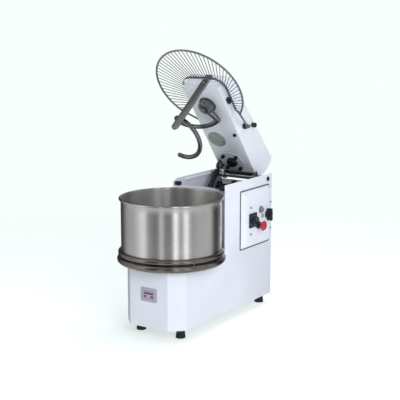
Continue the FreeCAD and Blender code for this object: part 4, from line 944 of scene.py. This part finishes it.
def hidden_works():
    """Finishes for the works inside, which keep the frame's own shapes."""
    for material, nodes in NODE_FINISHES.items():
        for node in nodes:
            slots = frame["nodes"][node].data.materials
            slots.clear()
            slots.append(material)
    softened_node("drive_coupling", BLACK_STEEL, "drive", 0.8)


body_panels()
rear_panel()
rubber_feet()
front_badge()
lead_gland()
body_trim()
mixing_bowl()
bowl_bead()
turntable()
head_shell()
head_underside()
scraper_bar()
guard_pivots()
head_knob()
kneading_spiral()
coupling_face()
bowl_guard()
gas_strut()
control_cover()
timer()
stop_mushroom()
start_button()
pilot_lamp()
speed_switch()
hidden_works()


# ---------------------------------------------------------------- studio
CAMERA_SPOT = Vector((2.07315, -3.06288, 1.1554))
CAMERA_RIGHT = Vector((0.8277, 0.5612, 0))
CAMERA_BACK = Vector((0.5510, -0.8126, 0.1902))
LENS_MM = 92.69
SENSOR_MM = 36
PAPER = "#F8FFFD"
FLOOR_FADE = (0.9, 2.4)
MACHINE_MIDDLE = (0, 0, 0.4)
SOFT_LIGHT = 0.24

# what metal mirrors: bearings in degrees to the camera's right, and brightness there;
# above 1 is an upright lamp, and near 0 a black flag
LAMPS = [
    (-180, 0.12), (-147, 0.05), (-133, 0.2), (-118, 0.5), (-92, 0.6), (-80, 0.85), (-68, 1.25), (-60, 1.1),
    (-53, 0.42), (-36, 0.16), (-28, 0.22), (-24, 0.85), (-19, 0.8), (-13, 0.24), (-2, 0.2), (5, 0.5),
    (8, 1.9), (15, 1.7), (19, 0.55), (27, 0.55), (31, 1.5), (38, 1.8), (43, 0.7), (50, 0.45), (66, 0.6),
    (98, 0.66), (106, 0.5), (114, 0.08), (129, 0.03), (140, 0.2), (152, 0.5)]


def place_in_scene(name, data):
    """A new object, linked to the scene."""
    thing = bpy.data.objects.new(name, data)
    bpy.context.scene.collection.objects.link(thing)
    return thing


def camera():
    """A long lens in front of the machine and to its right, higher than the raised head."""
    data = bpy.data.cameras.new("camera")
    data.lens = LENS_MM
    data.sensor_width = SENSOR_MM
    data.clip_end = 60
    thing = place_in_scene("camera", data)
    back = CAMERA_BACK.normalized()
    right = (CAMERA_RIGHT - back * CAMERA_RIGHT.dot(back)).normalized()
    turn = Matrix((right, back.cross(right), back)).transposed().to_4x4()
    thing.matrix_world = Matrix.Translation(CAMERA_SPOT) @ turn
    bpy.context.scene.camera = thing


def floor():
    """Pale floor whose own colour fades to the glow of the paper behind it."""
    bm = bmesh.new()
    bmesh.ops.create_circle(bm, cap_ends=True, segments=96, radius=30)
    mesh = bpy.data.meshes.new("floor")
    bm.to_mesh(mesh)
    bm.free()
    near, far = FLOOR_FADE
    material, tree, place = new_material("pale_studio_floor")
    reach = add(tree, "VectorMath", {"operation": "LENGTH"}, i0=place)
    fade = add(tree, "MapRange", Value=reach.outputs["Value"], From_Min=near, From_Max=far)
    tone = add(tree, "Mix", RGBA, i0=fade.outputs["Result"], i6=colour("#CDD1D0"), i7=(0, 0, 0, 1))
    glow = add(tree, "MapRange", Value=reach.outputs["Value"], From_Min=near, From_Max=far, To_Min=0.6,
               To_Max=1.0)
    mesh.materials.append(shaded(material, tree, Base_Color=tone.outputs[2], Roughness=0.9,
                                 Specular_IOR_Level=0.0, Emission_Color=colour(PAPER),
                                 Emission_Strength=glow.outputs["Result"]))
    thing = place_in_scene("floor", mesh)
    thing.visible_glossy = False


def softbox(name, spot, size, power):
    """A square lamp that faces the machine and isn't seen in its metal."""
    data = bpy.data.lights.new(name, "AREA")
    data.shape = "SQUARE"
    data.size = size
    data.energy = power
    thing = place_in_scene(name, data)
    way = Vector(MACHINE_MIDDLE) - Vector(spot)
    thing.matrix_world = Matrix.Translation(spot) @ way.to_track_quat("-Z", "Y").to_matrix().to_4x4()
    thing.visible_glossy = False


def lamps_on_ramp():
    """Each lamp's place on the world's ramp, in degrees clockwise from the front as seen from above."""
    camera_bearing = math.degrees(math.atan2(CAMERA_BACK.x, CAMERA_BACK.y))
    return sorted(((camera_bearing - turn + 180) % 360, level) for turn, level in LAMPS)


def studio_world():
    """White paper to the eye; to metal, a grey room with upright lamps, black flags and a pale floor."""
    world = bpy.data.worlds.new("studio")
    bpy.context.scene.world = world
    world.use_nodes = True
    tree = world.node_tree
    tree.nodes.clear()
    way = add(tree, "SeparateXYZ", Vector=add(tree, "TexCoord").outputs["Generated"])
    bearing = add(tree, "Math", {"operation": "ARCTAN2"}, i0=way.outputs["X"], i1=way.outputs["Y"])
    share = add(tree, "MapRange", Value=bearing.outputs["Value"], From_Min=-math.pi, From_Max=math.pi)
    ramp = add(tree, "ValToRGB", Fac=share.outputs["Result"])
    stops = ramp.color_ramp
    lamps = lamps_on_ramp()
    stops.elements[0].position = lamps[0][0] / 360
    stops.elements[1].position = lamps[-1][0] / 360
    for degrees, level in lamps[1:-1]:
        stops.elements.new(degrees / 360)
    for element, (degrees, level) in zip(stops.elements, lamps):
        element.color = (level, level, level * 1.01, 1)
    below = add(tree, "MapRange", Value=way.outputs["Z"], From_Min=-0.3, From_Max=-0.65)
    mirrored = add(tree, "Mix", RGBA, i0=below.outputs["Result"], i6=ramp.outputs["Color"],
                   i7=(0.8, 0.8, 0.8, 1))
    room = add(tree, "Background", Color=mirrored.outputs[2], Strength=1.0)
    paper = add(tree, "Background", Color=colour(PAPER), Strength=1.0)
    soft = add(tree, "Background", Color=(0.86, 0.9, 1, 1), Strength=SOFT_LIGHT)
    ray = add(tree, "LightPath")
    glossy = add(tree, "MixShader", i0=ray.outputs["Is Glossy Ray"], i1=soft.outputs[0], i2=room.outputs[0])
    seen = add(tree, "MixShader", i0=ray.outputs["Is Camera Ray"], i1=glossy.outputs[0], i2=paper.outputs[0])
    add(tree, "OutputWorld", Surface=seen.outputs[0])


camera()
floor()
softbox("key", (3.6, -2.5, 2.2), 2.4, 124)
softbox("top", (0.3, 0.6, 3.6), 2.6, 60)
studio_world()
bpy.context.scene.view_settings.view_transform = "Standard"
